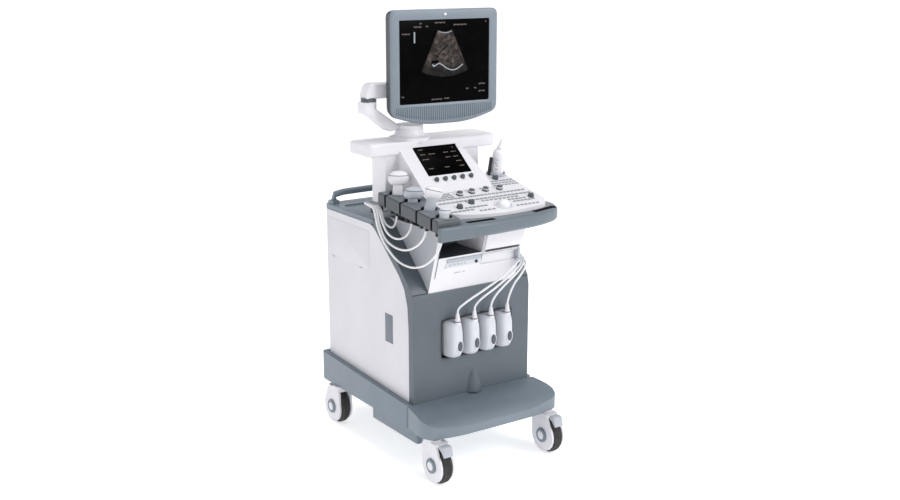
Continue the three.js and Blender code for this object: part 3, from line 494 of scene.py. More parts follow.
# ---- cords ----
CABLE_D = 7.0
CABLE_ROUTES = {
    1: [(-80, -28, 513), (-79, -31, 530), (-58, -48, 556), (4, -60, 590), (70, -60, 620),
        (130, -46, 646), (162, -32, 657), (179, -14, 656), (181, 50, 686), (180, 120, 742),
        (181, 180, 784), (182, 225, 806), (166, 272, 808), (100, 288, 808), (-110, 288, 808),
        (-190, 274, 815), (-232, 232, 840), (-241, 202, 850), (-241, 187, 849), (-241, 175, 838),
        (-240, 166, 815), (-233, 151, 794), (-220, 142, 788), (-207, 141, 804),
        (-202.3, 143, 830), (-201.8, 143, 844)],
    2: [(-13, -28, 513), (-12, -31, 530), (2, -46, 556), (48, -56, 586), (100, -54, 614),
        (148, -42, 636), (174, -28, 646), (188, -12, 650), (190, 50, 684), (189, 120, 744),
        (189, 180, 785), (190, 228, 806), (172, 280, 817), (100, 297, 817), (-112, 297, 817),
        (-196, 282, 824), (-239, 238, 845), (-249, 202, 851), (-249, 187, 849), (-249, 175, 838),
        (-249, 160, 810), (-248, 134, 780), (-244, 104, 766), (-234, 76, 764), (-220, 58, 776),
        (-206, 51, 804), (-203.1, 53, 838.2)],
    3: [(54, -28, 513), (55, -31, 530), (62, -42, 556), (92, -50, 588), (132, -48, 614),
        (168, -38, 634), (186, -26, 643), (197, -10, 649), (199, 50, 684), (198, 120, 744),
        (198, 180, 786), (199, 230, 806), (180, 288, 826), (104, 306, 826), (-114, 306, 826),
        (-202, 290, 832), (-248, 244, 849), (-257, 204, 852), (-257, 187, 849), (-257.5, 175, 837),
        (-257, 163, 800), (-252, 138, 758), (-247, 94, 738), (-238, 40, 735), (-228, 4, 748),
        (-218, -26, 772), (-211, -40, 802), (-209.1, -42, 832.4)],
    4: [(121, -28, 513), (122, -31, 530), (126, -38, 556), (142, -42, 588), (168, -40, 612),
        (190, -32, 632), (202, -20, 642), (207, -4, 650), (208, 50, 684), (207, 120, 744),
        (207, 180, 786), (208, 232, 806), (188, 296, 835), (106, 315, 835), (-116, 315, 835),
        (-208, 298, 840), (-257, 252, 853), (-265, 206, 853), (-265, 187, 849), (-266, 175, 835),
        (-265, 160, 792), (-259, 130, 742), (-252, 100, 714), (-247, 60, 694), (-241, 18, 687),
        (-235, -18, 690), (-226, -54, 703), (-218, -88, 728), (-209, -112, 762),
        (-205, -124, 796), (-203.1, -127, 825.6)],
}


def centripetal(points, per_span=12):
    """A smooth curve through points: each span is a cubic whose end slopes come from the
    neighbouring points, with knots spaced by the square root of the distances."""
    p = np.asarray(points, float)
    p = np.vstack([2 * p[0] - p[1], p, 2 * p[-1] - p[-2]])
    knots = np.r_[0, np.cumsum(np.linalg.norm(np.diff(p, axis=0), axis=1) ** 0.5)]
    p0, p1, p2, p3 = p[:-3], p[1:-2], p[2:-1], p[3:]
    t0, t1, t2, t3 = (k[:, None, None] for k in (knots[:-3], knots[1:-2], knots[2:-1], knots[3:]))
    t = t1 + (t2 - t1) * (np.arange(per_span) / per_span)[None, :, None]
    q0, q1, q2, q3 = (q[:, None, :] for q in (p0, p1, p2, p3))
    a1 = (t1 - t) / (t1 - t0) * q0 + (t - t0) / (t1 - t0) * q1
    a2 = (t2 - t) / (t2 - t1) * q1 + (t - t1) / (t2 - t1) * q2
    a3 = (t3 - t) / (t3 - t2) * q2 + (t - t2) / (t3 - t2) * q3
    b1 = (t2 - t) / (t2 - t0) * a1 + (t - t0) / (t2 - t0) * a2
    b2 = (t3 - t) / (t3 - t1) * a2 + (t - t1) / (t3 - t1) * a3
    curve = (t2 - t) / (t2 - t1) * b1 + (t - t1) / (t2 - t1) * b2
    return np.vstack([curve.reshape(-1, 3), p[-2:-1]])


def make_cables():
    """The four probe cables, each one open spline with a round bevel, in a white jacket."""
    for number, route in CABLE_ROUTES.items():
        line = placed(centripetal(route, 6))
        curve = bpy.data.curves.new(f"probe_cable_{number}_cord", "CURVE")
        curve.dimensions = "3D"
        curve.bevel_depth = CABLE_D / 2 * MM
        curve.bevel_resolution = 4
        spline = curve.splines.new("POLY")
        spline.points.add(len(line) - 1)
        spline.points.foreach_set("co", np.c_[line, np.ones(len(line))].astype(np.float32).ravel())
        spline.use_smooth = True
        curve.materials.append(JACKET)
        cable = linked(f"probe_cable_{number}_cord", curve)
        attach(cable, "cart")
        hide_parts(f"probe_cable_{number}")


make_cables()

# ---- base and casters ----
CASTERS = [("front_left", -224, -104, -130), ("front_right", 224, -104, -130),
           ("rear_left", -236, 480, 505), ("rear_right", 236, 480, 505)]
WHEEL_R = 62.5
WHEEL_HALF = 17
FORK_OUTER = 26


def tyre(x, y):
    """Tyre and rim: a turned profile with two grooves round the tread, which is cut by
    shallow cross notches where the flutes run."""
    half = WHEEL_HALF
    one_side = [(24, -half + 4, 0), (46, -half + 3, 0), (48, -half, 0), (54, -half, 0), (59, -half + 3, 0),
                (61.8, -half + 7, 0), (WHEEL_R, -7, 1), (WHEEL_R, -5, 1), (60.6, -4.4, 0),
                (60.6, -3.4, 0), (WHEEL_R, -2.8, 1)]
    profile = one_side + [(radius, -h, notched) for radius, h, notched in reversed(one_side)]
    return turned(profile, (x, y, WHEEL_R), "x", 144, 36, 0.018)


def hub_part(x, y, side, profile):
    """A part of the cap over the axle: a profile of (radius, height out of the fork's face)."""
    shape = rounds([(r, side * h) for r, h in profile], 0.8)
    return turned(shape, (x + side * FORK_OUTER, y, WHEEL_R), "x", 44)


HUB_RING = [(0, 0), (24.8, 0), (24.8, 5.2), (22.6, 7.0), (18.6, 7.0), (17.0, 6.3), (0, 6.3)]
HUB_CENTRE = [(0, 6), (14.6, 6), (14.2, 7.2), (9.0, 8.2), (0, 8.5)]
HUB_PARTS = (("rings", HUB_RING, SLATE, "slate"), ("centres", HUB_CENTRE, WHITE, "white"))


def make_casters():
    for name, x, stem, hub in CASTERS:
        fork, wheel = f"caster_{name}", f"wheel_{name}"
        refined(f"caster_fork_{name}", WHITE, 2.2, 3)
        piece(f"{name}_tyre", tyre(x, hub), TYRE, wheel, (f"caster_wheel_{name}",), 30)
        hub_disc = rounds([(6.6, -13.5), (44, -13.5), (46, -11), (46, 11), (44, 13.5), (6.6, 13.5)], 1.5)
        piece(f"{name}_wheel_disc", turned(hub_disc, (x, hub, WHEEL_R), "x", 48), PALE, wheel)
        for part, profile, material, slot in HUB_PARTS:
            caps = both(*(hub_part(x, hub, side, profile) for side in (-1, 1)))
            piece(f"{name}_hub_{part}", caps, material, fork)
        race = rounds([(12, 133.5), (27, 133.5), (27, 138.2), (12, 138.2)], 1.5)
        piece(f"{name}_swivel_race", turned(race, (x, stem, 0), "z", 32), STEEL, fork)
    for side in ("front_left", "front_right"):
        refined(f"brake_pedal_{side}", PALE, 1.5, 3)


def make_base():
    refined("base_skirt", SLATE, 5.0, 4, 25.0)
    seams = both(*(bar((x - 0.4, -1.0, 152), (x + 0.4, 0.6, 221), 0.2, 1) for x in (-255.9, 255.9)))
    piece("skirt_seams", seams, BLACK, "cart")


make_casters()
make_base()

# ---- body ----


PANEL_X = 233.0      # outer face of a side panel


def louvre(side):
    """Grey vent insert of a side panel: a frame and fourteen slats on a thin backing."""
    x = side * PANEL_X
    low, high = (x - 1.2, x + 1.0) if side > 0 else (x - 1.0, x + 1.2)
    frame_bars = [bar((low, 126, 396), (high, 130, 494)), bar((low, 169, 396), (high, 173, 494)),
                  bar((low, 126, 396), (high, 173, 400)), bar((low, 126, 490), (high, 173, 494))]
    slats = [bar((low, 129, 402.5 + 6.2 * i), (high, 170, 406.5 + 6.2 * i), 0.8) for i in range(14)]
    backing = bar((x - 0.7, 128, 398), (x + 0.5, 171, 492), 0.2, 1)
    return both(*frame_bars, *slats, backing)


def plain(node, material):
    """A CAD node that is hardly seen, with a finished material of its own."""
    mesh = frame["nodes"][node].data
    mesh.materials.clear()
    mesh.materials.append(material)


def make_body():
    refined("front_cover", SLATE_DEEP, 4.0, 3, 30.0)
    piece("cover_seam", bar((-233.2, 4.0, 589.3), (233.2, 6.5, 590.7), 0.3, 1), BLACK, "cart")
    for side, name in ((-1, "left"), (1, "right")):
        refined(f"side_panel_{name}", SIDE_WHITE, 0.8, 2)
        piece(f"{name}_vent", louvre(side), VENT_GREY, "cart")
        low, high = sorted((side * (PANEL_X - 0.4), side * (PANEL_X + 0.9)))
        door = prism(oblong(270, 620, 560, 752, 6), "x", low, high, 0.5, 2)
        piece(f"{name}_service_door", door, SIDE_WHITE, "cart")
        low, high = sorted((side * (PANEL_X + 0.2), side * (PANEL_X + 1.3)))
        latches = both(*(prism(oblong(y - 9, 612, y + 9, 617, 2), "x", low, high, 0.5, 2)
                         for y in (330, 520)))
        piece(f"{name}_door_latches", latches, PALE, "cart")
    refined("top_deck", SLATE, 2.5, 3)
    refined("rear_handle", SLATE, 4.0, 3)
    refined("rear_cover", SIDE_WHITE, 0.8, 2)
    refined("connector_panel", CHARCOAL, 1.0, 2)
    for node in ("inner_frame", "power_supply", "card_cage"):
        plain(node, STEEL)


def connector_body(x):
    """Probe connector: plan outlines stacked in height. The front bulges between the rounded
    bottom and the sloping shoulder, and the sides draw in with it."""
    heights = np.array([366, 367.5, 371, 378, 390, 406, 430, 452, 466, 476, 482, 485, 486.0])
    front = np.array([-26, -31, -35.5, -39.5, -43.5, -46, -46, -45, -43, -40, -36, -31, -26.0])
    draw = np.array([5, 2.6, 1.2, 0.4, 0, 0, 0, 0, 0.4, 1.2, 2.6, 4.4, 7.0])
    sections = []
    for z, y, d in zip(heights, front, draw):
        half = 26 - d
        line = rounded([(-half, 25, 2), (half, 25, 2), (half, y + 24, 12), (half - 9, y, 13),
                        (-half + 9, y, 13), (-half, y + 24, 12)], 5)
        sections.append(raised(line, "z", z) + np.array([x, 0, 0]))
    return loft(sections)


def oval_button(profile, radius, stretch, place):
    """A turned profile stretched upright and set on the front of a connector."""
    points, faces = turned(rounds(profile, radius), count=32)
    return about("x", (points * np.array([1, stretch, 1]), faces), 90, place)


def make_connectors():
    for i in range(4):
        name, x = f"connector_{i + 1}", -86 + 67 * i
        piece(f"{name}_body", connector_body(x), PALE_WHITE, "cart",
              (f"probe_{name}",), 50)
        lever = oval_button([(0, 0), (9, 0), (9, 4), (6.4, 6.4), (0, 6.8)], 1.6, 1.9, (x + 4, -45.2, 408))
        piece(f"{name}_lever", lever, KNOB_GREY, "cart")
        rim = oval_button([(9.4, 0), (12.4, 0), (12.4, 2.2), (9.4, 2.2)], 0.8, 1.75, (x + 4, -45.0, 408))
        piece(f"{name}_lever_rim", rim, WHITE, "cart")
        boot = rounds([(0, 478), (11.4, 478), (11.2, 489), (9.6, 492), (7.6, 500), (6.2, 508), (5.6, 514),
                       (3.6, 515.5), (0, 515.5)], 1.2)
        collar = rounds([(8, 486.6), (12.2, 486.6), (12.2, 489.6), (8, 489.6)], 0.6)
        exit_place = (x + 6, -28, 0)
        piece(f"{name}_boot", turned(boot, exit_place, count=28), WHITE, "cart")
        piece(f"{name}_collar", turned(collar, exit_place, count=28), KNOB_GREY, "cart")


make_body()
make_connectors()

# ---- housing under the console ----
IO_LOW, IO_HIGH = (5.0, 586.0), (-62.0, 800.0)


def housing_front(z):
    """The housing's front face leans forward: its y falls in line from 5 at the foot to -62."""
    return IO_LOW[0] + (IO_HIGH[0] - IO_LOW[0]) * (z - IO_LOW[1]) / (IO_HIGH[1] - IO_LOW[1])


def leaning(x0, x1, z0, z1, proud, thick, r=1.0):
    """A thin slab on the leaning front face, standing proud of it: its four corners follow the
    face, and its outline is rounded by r."""
    line = rounded(oblong(x0, z0, x1, z1, r), 4)
    edge = min(0.5, thick / 3)
    rows = []
    for depth, step in ((-thick, edge), (-thick + edge, 0), (-edge, 0), (0, edge)):
        ring = inset(line, step)
        rows.append(np.stack([ring[:, 0], housing_front(ring[:, 1]) - proud - depth - thick, ring[:, 1]], 1))
    return loft(rows)


def make_housing():
    housing = refined("io_housing", WHITE, 2.0, 3, 25.0)
    # Painted shade: faces of the housing that look left get the darker grey.
    tinted(housing, HOUSING_SHADE, lambda x, y, z, normal: normal.x < -0.7 and x < -160)
    # Painted shadow: the open bay under the console is made charcoal, as the console's shadow, except for
    # faces that look forward at its front.
    tinted(housing, CHARCOAL, lambda x, y, z, normal: (
        -157.9 < x < 11.9 and z > 709.9 and -59 < y < 111 and not (abs(normal.x) < 0.1 and y < -30)))
    refined("disc_drive", PALE_WHITE, 0.8, 2)
    refined("disc_tray", PALE, 0.6, 2)
    refined("drawer", WHITE, 1.2, 3)
    seam = leaning(-160, -157.6, 640, 788, 0.3, 1.2, 0.6)
    piece("housing_left_seam", seam, CHARCOAL, "cart")
    lip = prism([(-58, 791, 2), (-63.5, 791, 2), (-64.5, 799.5, 2), (-58, 799.5, 2)], "x", -172, 172, 1.0)
    piece("housing_top_lip", lip, WHITE, "cart")
    marks = both(leaning(-86, -62, 648, 651, 0.5, 1.0), leaning(-52, -44, 648, 651, 0.5, 1.0))
    piece("housing_marks", marks, PALE, "cart")
    drive_face = -26.0
    buttons = []
    for x, w in ((-112, 9), (-96, 9), (-80, 9), (-64, 5), (-52, 5)):
        outline = oblong(x, 677.5, x + w, 682.5, 1)
        buttons.append(prism(outline, "y", drive_face - 1.4, drive_face + 1, 0.5, 2))
    piece("drive_buttons", both(*buttons), PALE, "cart")
    knob = turned(rounds([(0, 0), (5.6, 0), (5.6, 2.2), (4.6, 3.0), (0, 3.0)], 0.8), count=24)
    piece("drive_black_button", about("x", knob, 90, (-6, drive_face + 0.4, 680)), BLACK, "cart")
    bracket = both(bar((158, -36, 668), (166, -16, 700), 1.2), bar((150, -38, 662), (168, -30, 668), 1.2))
    piece("drawer_bracket", bracket, PALE, "cart")
    rows = both(leaning(20, 166, 700.2, 702.4, 0.2, 1.0, 0.4), leaning(14, 16.4, 664, 790, 0.2, 1.0, 0.4))
    piece("drawer_seams", rows, PALE, "cart")


make_housing()

# ---- console ----


def dial(r, height, flutes=14):
    """Control knob: a fluted skirt, a waist and a dished cap, turned about its own axis."""
    profile = [(0, 0, 0), (r, 0, 1), (r, 0.6, 1), (r * 0.97, height * 0.42, 1), (r * 0.84, height * 0.5, 1),
               (r * 0.82, height * 0.86, 1), (r * 0.74, height * 0.97, 0), (r * 0.64, height, 0),
               (r * 0.5, height * 0.96, 0), (0, height * 0.93, 0)]
    return turned(profile, count=56, flutes=flutes, depth=0.06)


def pointer(r, height):
    """White index line on a knob's cap."""
    return bar((-0.7, r * 0.2, height * 0.9), (0.7, r * 0.72, height * 1.02), 0.3)


TURNING = {"knob_gain": (-93, -57), "knob_depth": (-34, -37), "knob_zoom": (197, -48),
           "knob_doppler": (168, 110)}
FIXED = [(-34, 29), (17, 34), (74, 36), (129, 34)]
BALL = (63, -80)
BOTTLE_PLACE = (199, 146)


def keys():
    """Rows of small keys on the plate: each is a rounded block, and a row steps along x. The
    places under knobs, the trackball, the bottle and the screen pod are left free."""
    rows = [(6, -140, 214, 15, 10.5, 6.5), (-18, -140, 214, 16, 12, 7), (-66, -72, 14, 15, 11, 6.5),
            (-82, -140, -44, 16, 11, 6.5), *((y, -146, -60, 13, 9, 5.5) for y in (19, 31, 43)),
            (-34, 14, 160, 17, 11, 6), (-50, 108, 170, 15, 10, 6), (-66, 118, 208, 15, 10, 6.5),
            (-96, -36, 14, 16, 10, 6.5), (-96, 108, 200, 16, 10, 6),
            *((y, 130, 222, 15, 10, 6.5) for y in (58, 74, 90))]
    taken = [(x, y, 17) for x, y in [*TURNING.values(), *FIXED]] + [(*BALL, 42), (*BOTTLE_PLACE, 44)]
    shapes = []
    for y, start, end, pitch, wide, deep in rows:
        for x in np.arange(start, end, pitch):
            if any(math.hypot(x - a, y - b) < r for a, b, r in taken):
                continue
            key = bar((-wide / 2, -deep / 2, -0.4), (wide / 2, deep / 2, 2.6), 0.8, 2)
            shapes.append(on_plate(key, x, y, 0.3))
    return both(*shapes)


def rim_shape():
    """Grip rim round the console: an outline swept to the right corner, with edges rounded by
    13 so that the front is a soft bar."""
    edge = [(-157.6, 250), (-157.6, -177), (-60, -181, 60), (150, -166, 60), (252, -128, 46), (291, -60, 40),
            (288, 10, 30), (244, 80, 40), (240, 130, 20), (172, 190), (172, 250)]
    return prism(edge, "z", 801, 846, 13, 6, 12)


def rim_end():
    """The rim's left end under the probe rack: a bar along X whose front corners are rounded."""
    section = [(-160.4, 801, 5), (-160.4, 846, 5), (-178.4, 846, 12), (-178.4, 801, 12)]
    return prism(section, "x", -246, -118, 3.5, 4, 8)


def cut_by(name, base, tool):
    """The mesh of one shape with another taken out of it."""
    body = linked(name, clean_mesh(name, base))
    cutter = linked(f"{name}_tool", clean_mesh(f"{name}_tool", tool))
    difference = body.modifiers.new("cut", "BOOLEAN")
    difference.object = cutter
    difference.operation = "DIFFERENCE"
    difference.solver = "EXACT"
    bpy.context.view_layer.update()
    result = bpy.data.meshes.new_from_object(body.evaluated_get(bpy.context.evaluated_depsgraph_get()))
    for made in (body, cutter):
        bpy.data.objects.remove(made)
    return result


# Middle x and y of each grip slot, its turn in radians and its length; its sides lie in front
# of its middle line and behind it.
GRIP_SLOTS = ((-76, -150, -0.03, 108), (196, -124, 0.28, 118))
SLOT_FRONT, SLOT_BACK = -10, 14


def slot_shade_walls(x, y, z, normal):
    """Picks the upright walls of the grip slots, which get painted shade."""
    for a, b, turn, length in GRIP_SLOTS:
        c, s = math.cos(turn), math.sin(turn)
        along, across = c * (x - a) + s * (y - b), c * (y - b) - s * (x - a)
        if abs(along) < length / 2 + 1 and SLOT_FRONT - 0.6 < across < SLOT_BACK + 0.6:
            return abs(normal.z) < 0.3
    return False


def make_console():
    slots = []
    for x, y, turn, length in GRIP_SLOTS:
        slot = prism(oblong(-length / 2, SLOT_FRONT, length / 2, SLOT_BACK, 9), "z", 790, 860, 0.3)
        slots.append(about("z", slot, math.degrees(turn), (x, y, 0)))
    rim = cut_by("rim", rim_shape(), both(*slots))
    made = shown("console_rim", rim, SLATE_RIM, "cart", ("console_tray",), 50.0)
    # Painted shade: the grip slots' upright walls are made black.
    tinted(made, BLACK, slot_shade_walls)
    soften = made.modifiers.new("slot_rounding", "BEVEL")
    soften.width, soften.segments, soften.limit_method = 1.6 * MM, 3, "ANGLE"
    soften.angle_limit = math.radians(55)
    piece("rim_left_end", rim_end(), SLATE_RIM, "cart")
    refined("control_plate", WHITE, 1.2, 2)
    piece("plate_keys", keys(), KEY_GREY, "cart", ("key_mat",))
    for name, (x, y) in TURNING.items():
        piece(f"{name}_dial", on_plate(dial(11, 12), x, y, 0.4), KNOB_GREY, name, (name,))
        piece(f"{name}_line", on_plate(pointer(11, 12), x, y, 0.4), WHITE, name)
    fixed = [on_plate(dial(11.8, 12.6), x, y, 0.0) for x, y in FIXED]
    piece("fixed_dials", both(*fixed), KNOB_GREY, "cart")
    for i in range(5):
        name = f"menu_knob_{i + 1}"
        menu_dial = on_face(dial(8.5, 9, 12), -79 + 34 * i, 95, 0.5)
        piece(f"{name}_dial", menu_dial, KNOB_GREY, name, (name,))
    x, y = BALL
    ring = rounds([(24.5, -1), (33, -1), (32, 1.6), (29, 3.0), (26, 2.4), (24.5, 0.4)], 0.8)
    piece("trackball_ring", on_plate(turned(ring, count=56), x, y, 0.2), PALE_WHITE, "cart")
    angle = np.linspace(-np.pi / 2, np.pi / 2, 25)
    ball = turned(np.c_[22 * np.cos(angle), 22 * np.sin(angle)], (x, y, plate_height(y) - 4), "z", 40)
    piece("trackball_ball", ball, BOTTLE, "ball", ("trackball",), 60)
    refined("screen_pod", WHITE, 4.0, 3, 28.0)
    make_touch_screen()
    make_bottle()


def make_touch_screen():
    wide_x, wide_y, pitch = 170, 128, 5.2
    glass = prism(oblong(-84.8, -63.8, 84.8, 63.8, 2), "z", -3.4, 0.4, 0.6, 2)
    middle = (-13.5, 161, face_height(161))
    piece("touch_glass", about("x", glass, FACE_TILT, middle), SCREEN, "cart", ("touch_screen",))
    words = [(0.09, 0.09, 0.15), (0.88, 0.10, 0.03), (0.08, 0.26, 0.15), (0.27, 0.26, 0.16),
             (0.62, 0.25, 0.15), (0.80, 0.25, 0.14), (0.075, 0.43, 0.16), (0.61, 0.42, 0.14),
             (0.79, 0.42, 0.15), (0.80, 0.58, 0.14), (0.81, 0.75, 0.13), (0.09, 0.75, 0.14),
             (0.46, 0.75, 0.15)]
    made = []
    for u, v, wide in words:
        for i in range(max(1, int(wide * wide_x / pitch))):
            x0 = wide_x * (u - 0.5) + i * pitch
            y0 = wide_y * (0.5 - v)
            tall = 2.6 + 1.6 * ((i * 7 + int(v * 40)) % 3) / 2
            made.append(bar((x0, y0 - tall, 0.4), (x0 + 3.9, y0, 0.7), 0.08, 1))
    piece("touch_marks", about("x", both(*made), FACE_TILT, middle), MARKS, "cart")


def make_bottle():
    x, y = BOTTLE_PLACE
    body = rounds([(0, -5.2), (20.5, -5.2), (22.8, -3), (22.8, 30), (22.2, 34), (22.8, 38), (22.8, 70),
                   (20.5, 84), (11, 92), (0, 92)], 3.0)
    body = on_plate(turned(body, count=44), x, y)
    piece("bottle_body", body, BOTTLE, "bottle", ("gel_bottle",), 50)
    cap = rounds([(0, 90), (12.4, 90), (12.4, 99), (9.4, 101), (7.2, 109), (3.4, 127), (0, 127.6)], 1.4)
    piece("bottle_cap", on_plate(turned(cap, count=40), x, y), BOTTLE, "bottle", (), 50)
    marks = both(*(about_z_arc(22.9, a0, a1, z0, z1) for a0, a1, z0, z1 in (
        (200, 226, 44, 48), (206, 232, 56, 59), (214, 240, 24, 27), (220, 238, 36, 39))))
    piece("bottle_marks", on_plate(marks, x, y), PALE, "bottle")
    seat = turned(rounds([(26.2, -2), (31, -2), (31.5, 6), (30, 9), (27.4, 9), (26.2, 5)], 1.0), count=44)
    piece("bottle_ring", on_plate(seat, x, y), PALE, "cart")
    clip = on_plate(bar((-35.5, -7, 0), (-29, 6, 64), 2.0, 3), x, y)
    piece("bottle_clip", clip, BLACK, "cart")


def about_z_arc(radius, from_deg, to_deg, low, high, thick=0.35):
    """A thin label patch wrapped on a round body: an arc of equal steps, given height and
    thickness, closed at its ends."""
    angle = np.radians(np.linspace(from_deg, to_deg, 8))
    rows = []
    for a in angle:
        out = np.array([math.cos(a), math.sin(a), 0])
        inner, outer = out * radius, out * (radius + thick)
        rows.append([inner + [0, 0, low], outer + [0, 0, low], outer + [0, 0, high], inner + [0, 0, high]])
    return loft(rows)


make_console()

# ---- probes and their rack ----
CUP_X, CUP_Y = -199, [143, 53, -42, -127]
HANDLE = [(-36, 6), (-33, 7.5), (-26, 12), (-14, 15.5), (-2, 17.4), (18, 18)]
PROBES = [
    ("convex_probe", 37, 22, 24, 66, 4, "white", "white"),
    ("volume_probe", 35, 21, 21, 38, 6, "grey", "grey"),
    ("linear_probe", 33, 19, 20, 62, 16, "grey", "white"),
    ("phased_probe", 19, 16, 14, 23, 6, "pale", "pale"),
]


def ovals(stations, ring=False):
    """Ovals stacked along an axis, from a list of (height, half width, half thickness)."""
    angle = np.arange(40) * 2 * np.pi / 40
    c, s = np.cos(angle), np.sin(angle)
    return loft([np.stack([a * c, b * s, np.full(40, z)], 1) for z, a, b in stations], ring)


def probe_handle(tall, at):
    """Handle of a hand probe: it swells out of its boot and draws in to a neck under the head."""
    neck = at - tall * 0.95
    swell = [(z, r, r * 0.97) for z, r in HANDLE if z < neck - 16]
    return ovals([*swell, (neck - 14, 16.5, 15.5), (neck, 16, 14.5), (at - tall * 0.5, 15.4, 13.8)])


def probe_head(wide, thick, tall, at):
    """Head of a hand probe: it opens to wide by thick, then its crown closes over like half an
    ellipse whose radius falls as the cosine to the power 0.72."""
    turn = np.radians([-56, -42, -25, -8, 10, 25, 40, 54, 66, 76, 84, 88.5])
    spread = np.cos(turn) ** 0.72
    return ovals(np.stack([at + tall * np.sin(turn), wide * spread, thick * spread], 1))


def probe_band(wide, thick, tall, at):
    """Thin dark joint line round a probe's head, just under its lens."""
    level = 0.42
    spread = math.cos(math.asin(level)) ** 0.72
    a, b, z = wide * spread, thick * spread, at + tall * level
    return ovals([(z - 1, a - 1, b - 1), (z - 0.9, a + 0.5, b + 0.5), (z + 0.9, a + 0.5, b + 0.5),
                  (z + 1, a - 1, b - 1)], ring=True)


def make_probes():
    finishes = {"white": (WHITE, "white"), "grey": (PALE, "pale_grey"), "pale": (PALE_WHITE, "pale_grey")}
    for (name, wide, thick, tall, at, lean, grip, crown), y in zip(PROBES, CUP_Y):
        place = (CUP_X, y, 862 + (y - CUP_Y[3]) * 0.07)
        boot = rounds([(0, -50), (4.4, -50), (5.4, -44), (6.6, -38), (8, -30), (0, -30)], 1.0)
        parts = (
            ("handle", probe_handle(tall, at), *finishes[grip], (name,), 60),
            ("head", probe_head(wide, thick, tall, at), *finishes[crown], (), 60),
            ("band", probe_band(wide, thick, tall, at), KNOB_GREY, "charcoal", (), 38),
            ("boot", turned(boot, count=28), JACKET, "cable", (), 38),
        )
        for part, shape, material, slot, replaced, smooth in parts:
            leaned = about("y", shape, lean, place)
            piece(f"{name}_{part}", leaned, material, "cart", replaced, smooth)


CUP_LIP = ((27.2, -1), (31, -1), (30.4, 1.4), (27.8, 1.4))


def rack_foot(y):
    """Height of the rack's lower edge, which rises towards the back."""
    return 826 + 0.0914 * (y + 160)


def painted_shade_on_rack(x, y, z, normal):
    """Picks the faces that get painted shade: the comb under the rack, the walls of the cable slits and the
    insides of the cups.
    """
    in_slit = x < CUP_X and any(abs(y - c) < 5.4 for c in CUP_Y)
    in_cup = normal.z < 0.8 and any(math.hypot(x - CUP_X, y - c) < 28 for c in CUP_Y)
    return z < rack_foot(y) - 1 or in_slit or in_cup


def make_rack():
    rack = refined("probe_holder", CHARCOAL, 2.2, 3)
    # Painted highlight: every face of the rack that looks up is made paler.
    tinted(rack, RACK_TOP_HIGHLIGHT, lambda x, y, z, normal: normal.z > 0.8)
    # Painted shade: black under the rack, in its slits and inside its cups.
    tinted(rack, BLACK, painted_shade_on_rack)
    lips = []
    for y in CUP_Y:
        top = 867.5 + 0.1 * (y + 160)
        arc = np.radians(np.linspace(196, 524, 34))
        rows = []
        for a in arc:
            out = np.array([math.cos(a), math.sin(a), 0])
            middle = np.array([CUP_X, y, top + 3.0 * math.sin(a)])
            rows.append([middle + out * radius + [0, 0, up] for radius, up in CUP_LIP])
        lips.append(loft(rows))
    piece("cup_lips", both(*lips), SLATE, "cart")


make_probes()
make_rack()

# ---- arm and monitor ----
HEAD_X, HEAD_HALF = 31.0, 202.0
LCD = (HEAD_X, 1306.0, 169.0, 135.0)        # middle x and z of the screen, half width, half height
GLASS_Y = 198.0                             # front of the screen's glass
BEZEL_Y, SEAM_Y = 196.0, 217.0              # front of the bezel, and its joint with the back


def monitor_line(extra):
    """Front outline of the monitor: square shoulders and a bowed lower edge."""
    half, low, corner, high = HEAD_HALF - extra, 1101 + extra, 1134 + extra, 1474 - extra
    return [(HEAD_X - half, corner, 26), (HEAD_X - half * 0.45, low, 60), (HEAD_X + half * 0.45, low, 60),
            (HEAD_X + half, corner, 26), (HEAD_X + half, high, 22), (HEAD_X - half, high, 22)]


def bezel_shape():
    """Bezel ring: its section runs from the seam round the outer edge, over a slightly crowned
    face to the screen's edge and back inside. Each outer point is joined to the point of the
    screen opening that lies in the same direction from its centre."""
    cx, cz, half_x, half_z = LCD
    outer = even(rounded(monitor_line(0), 10), 240)
    direction = outer - np.array([cx, cz])
    reach = np.min(np.array([half_x, half_z]) / np.maximum(np.abs(direction), 1e-6), axis=1)
    inner = np.array([cx, cz]) + direction * reach[:, None]
    edge = 7
    rows = [raised(outer, "y", SEAM_Y)]
    for t in np.linspace(0, np.pi / 2, 7):
        level = BEZEL_Y + edge * (1 - math.sin(t))
        rows.append(raised(inset(outer, edge * (1 - math.cos(t))), "y", level))
    face = inset(outer, edge)
    for s in (0.15, 0.35, 0.6, 0.85):
        rows.append(raised(face + (inner - face) * s, "y", BEZEL_Y - math.sin(math.pi * s)))
    widen = np.sign(inner - np.array([cx, cz])) * 1.2
    rows += [raised(inner + widen, "y", BEZEL_Y + 0.2), raised(inner, "y", BEZEL_Y + 1.4),
             raised(inner, "y", SEAM_Y)]
    return loft(rows, ring=True)


def chin_height(x):
    """Height of the monitor's lower edge over x: it rises as the distance from the middle to the
    power 2.2."""
    return 1101 + 30 * (np.abs(x - HEAD_X) / HEAD_HALF) ** 2.2


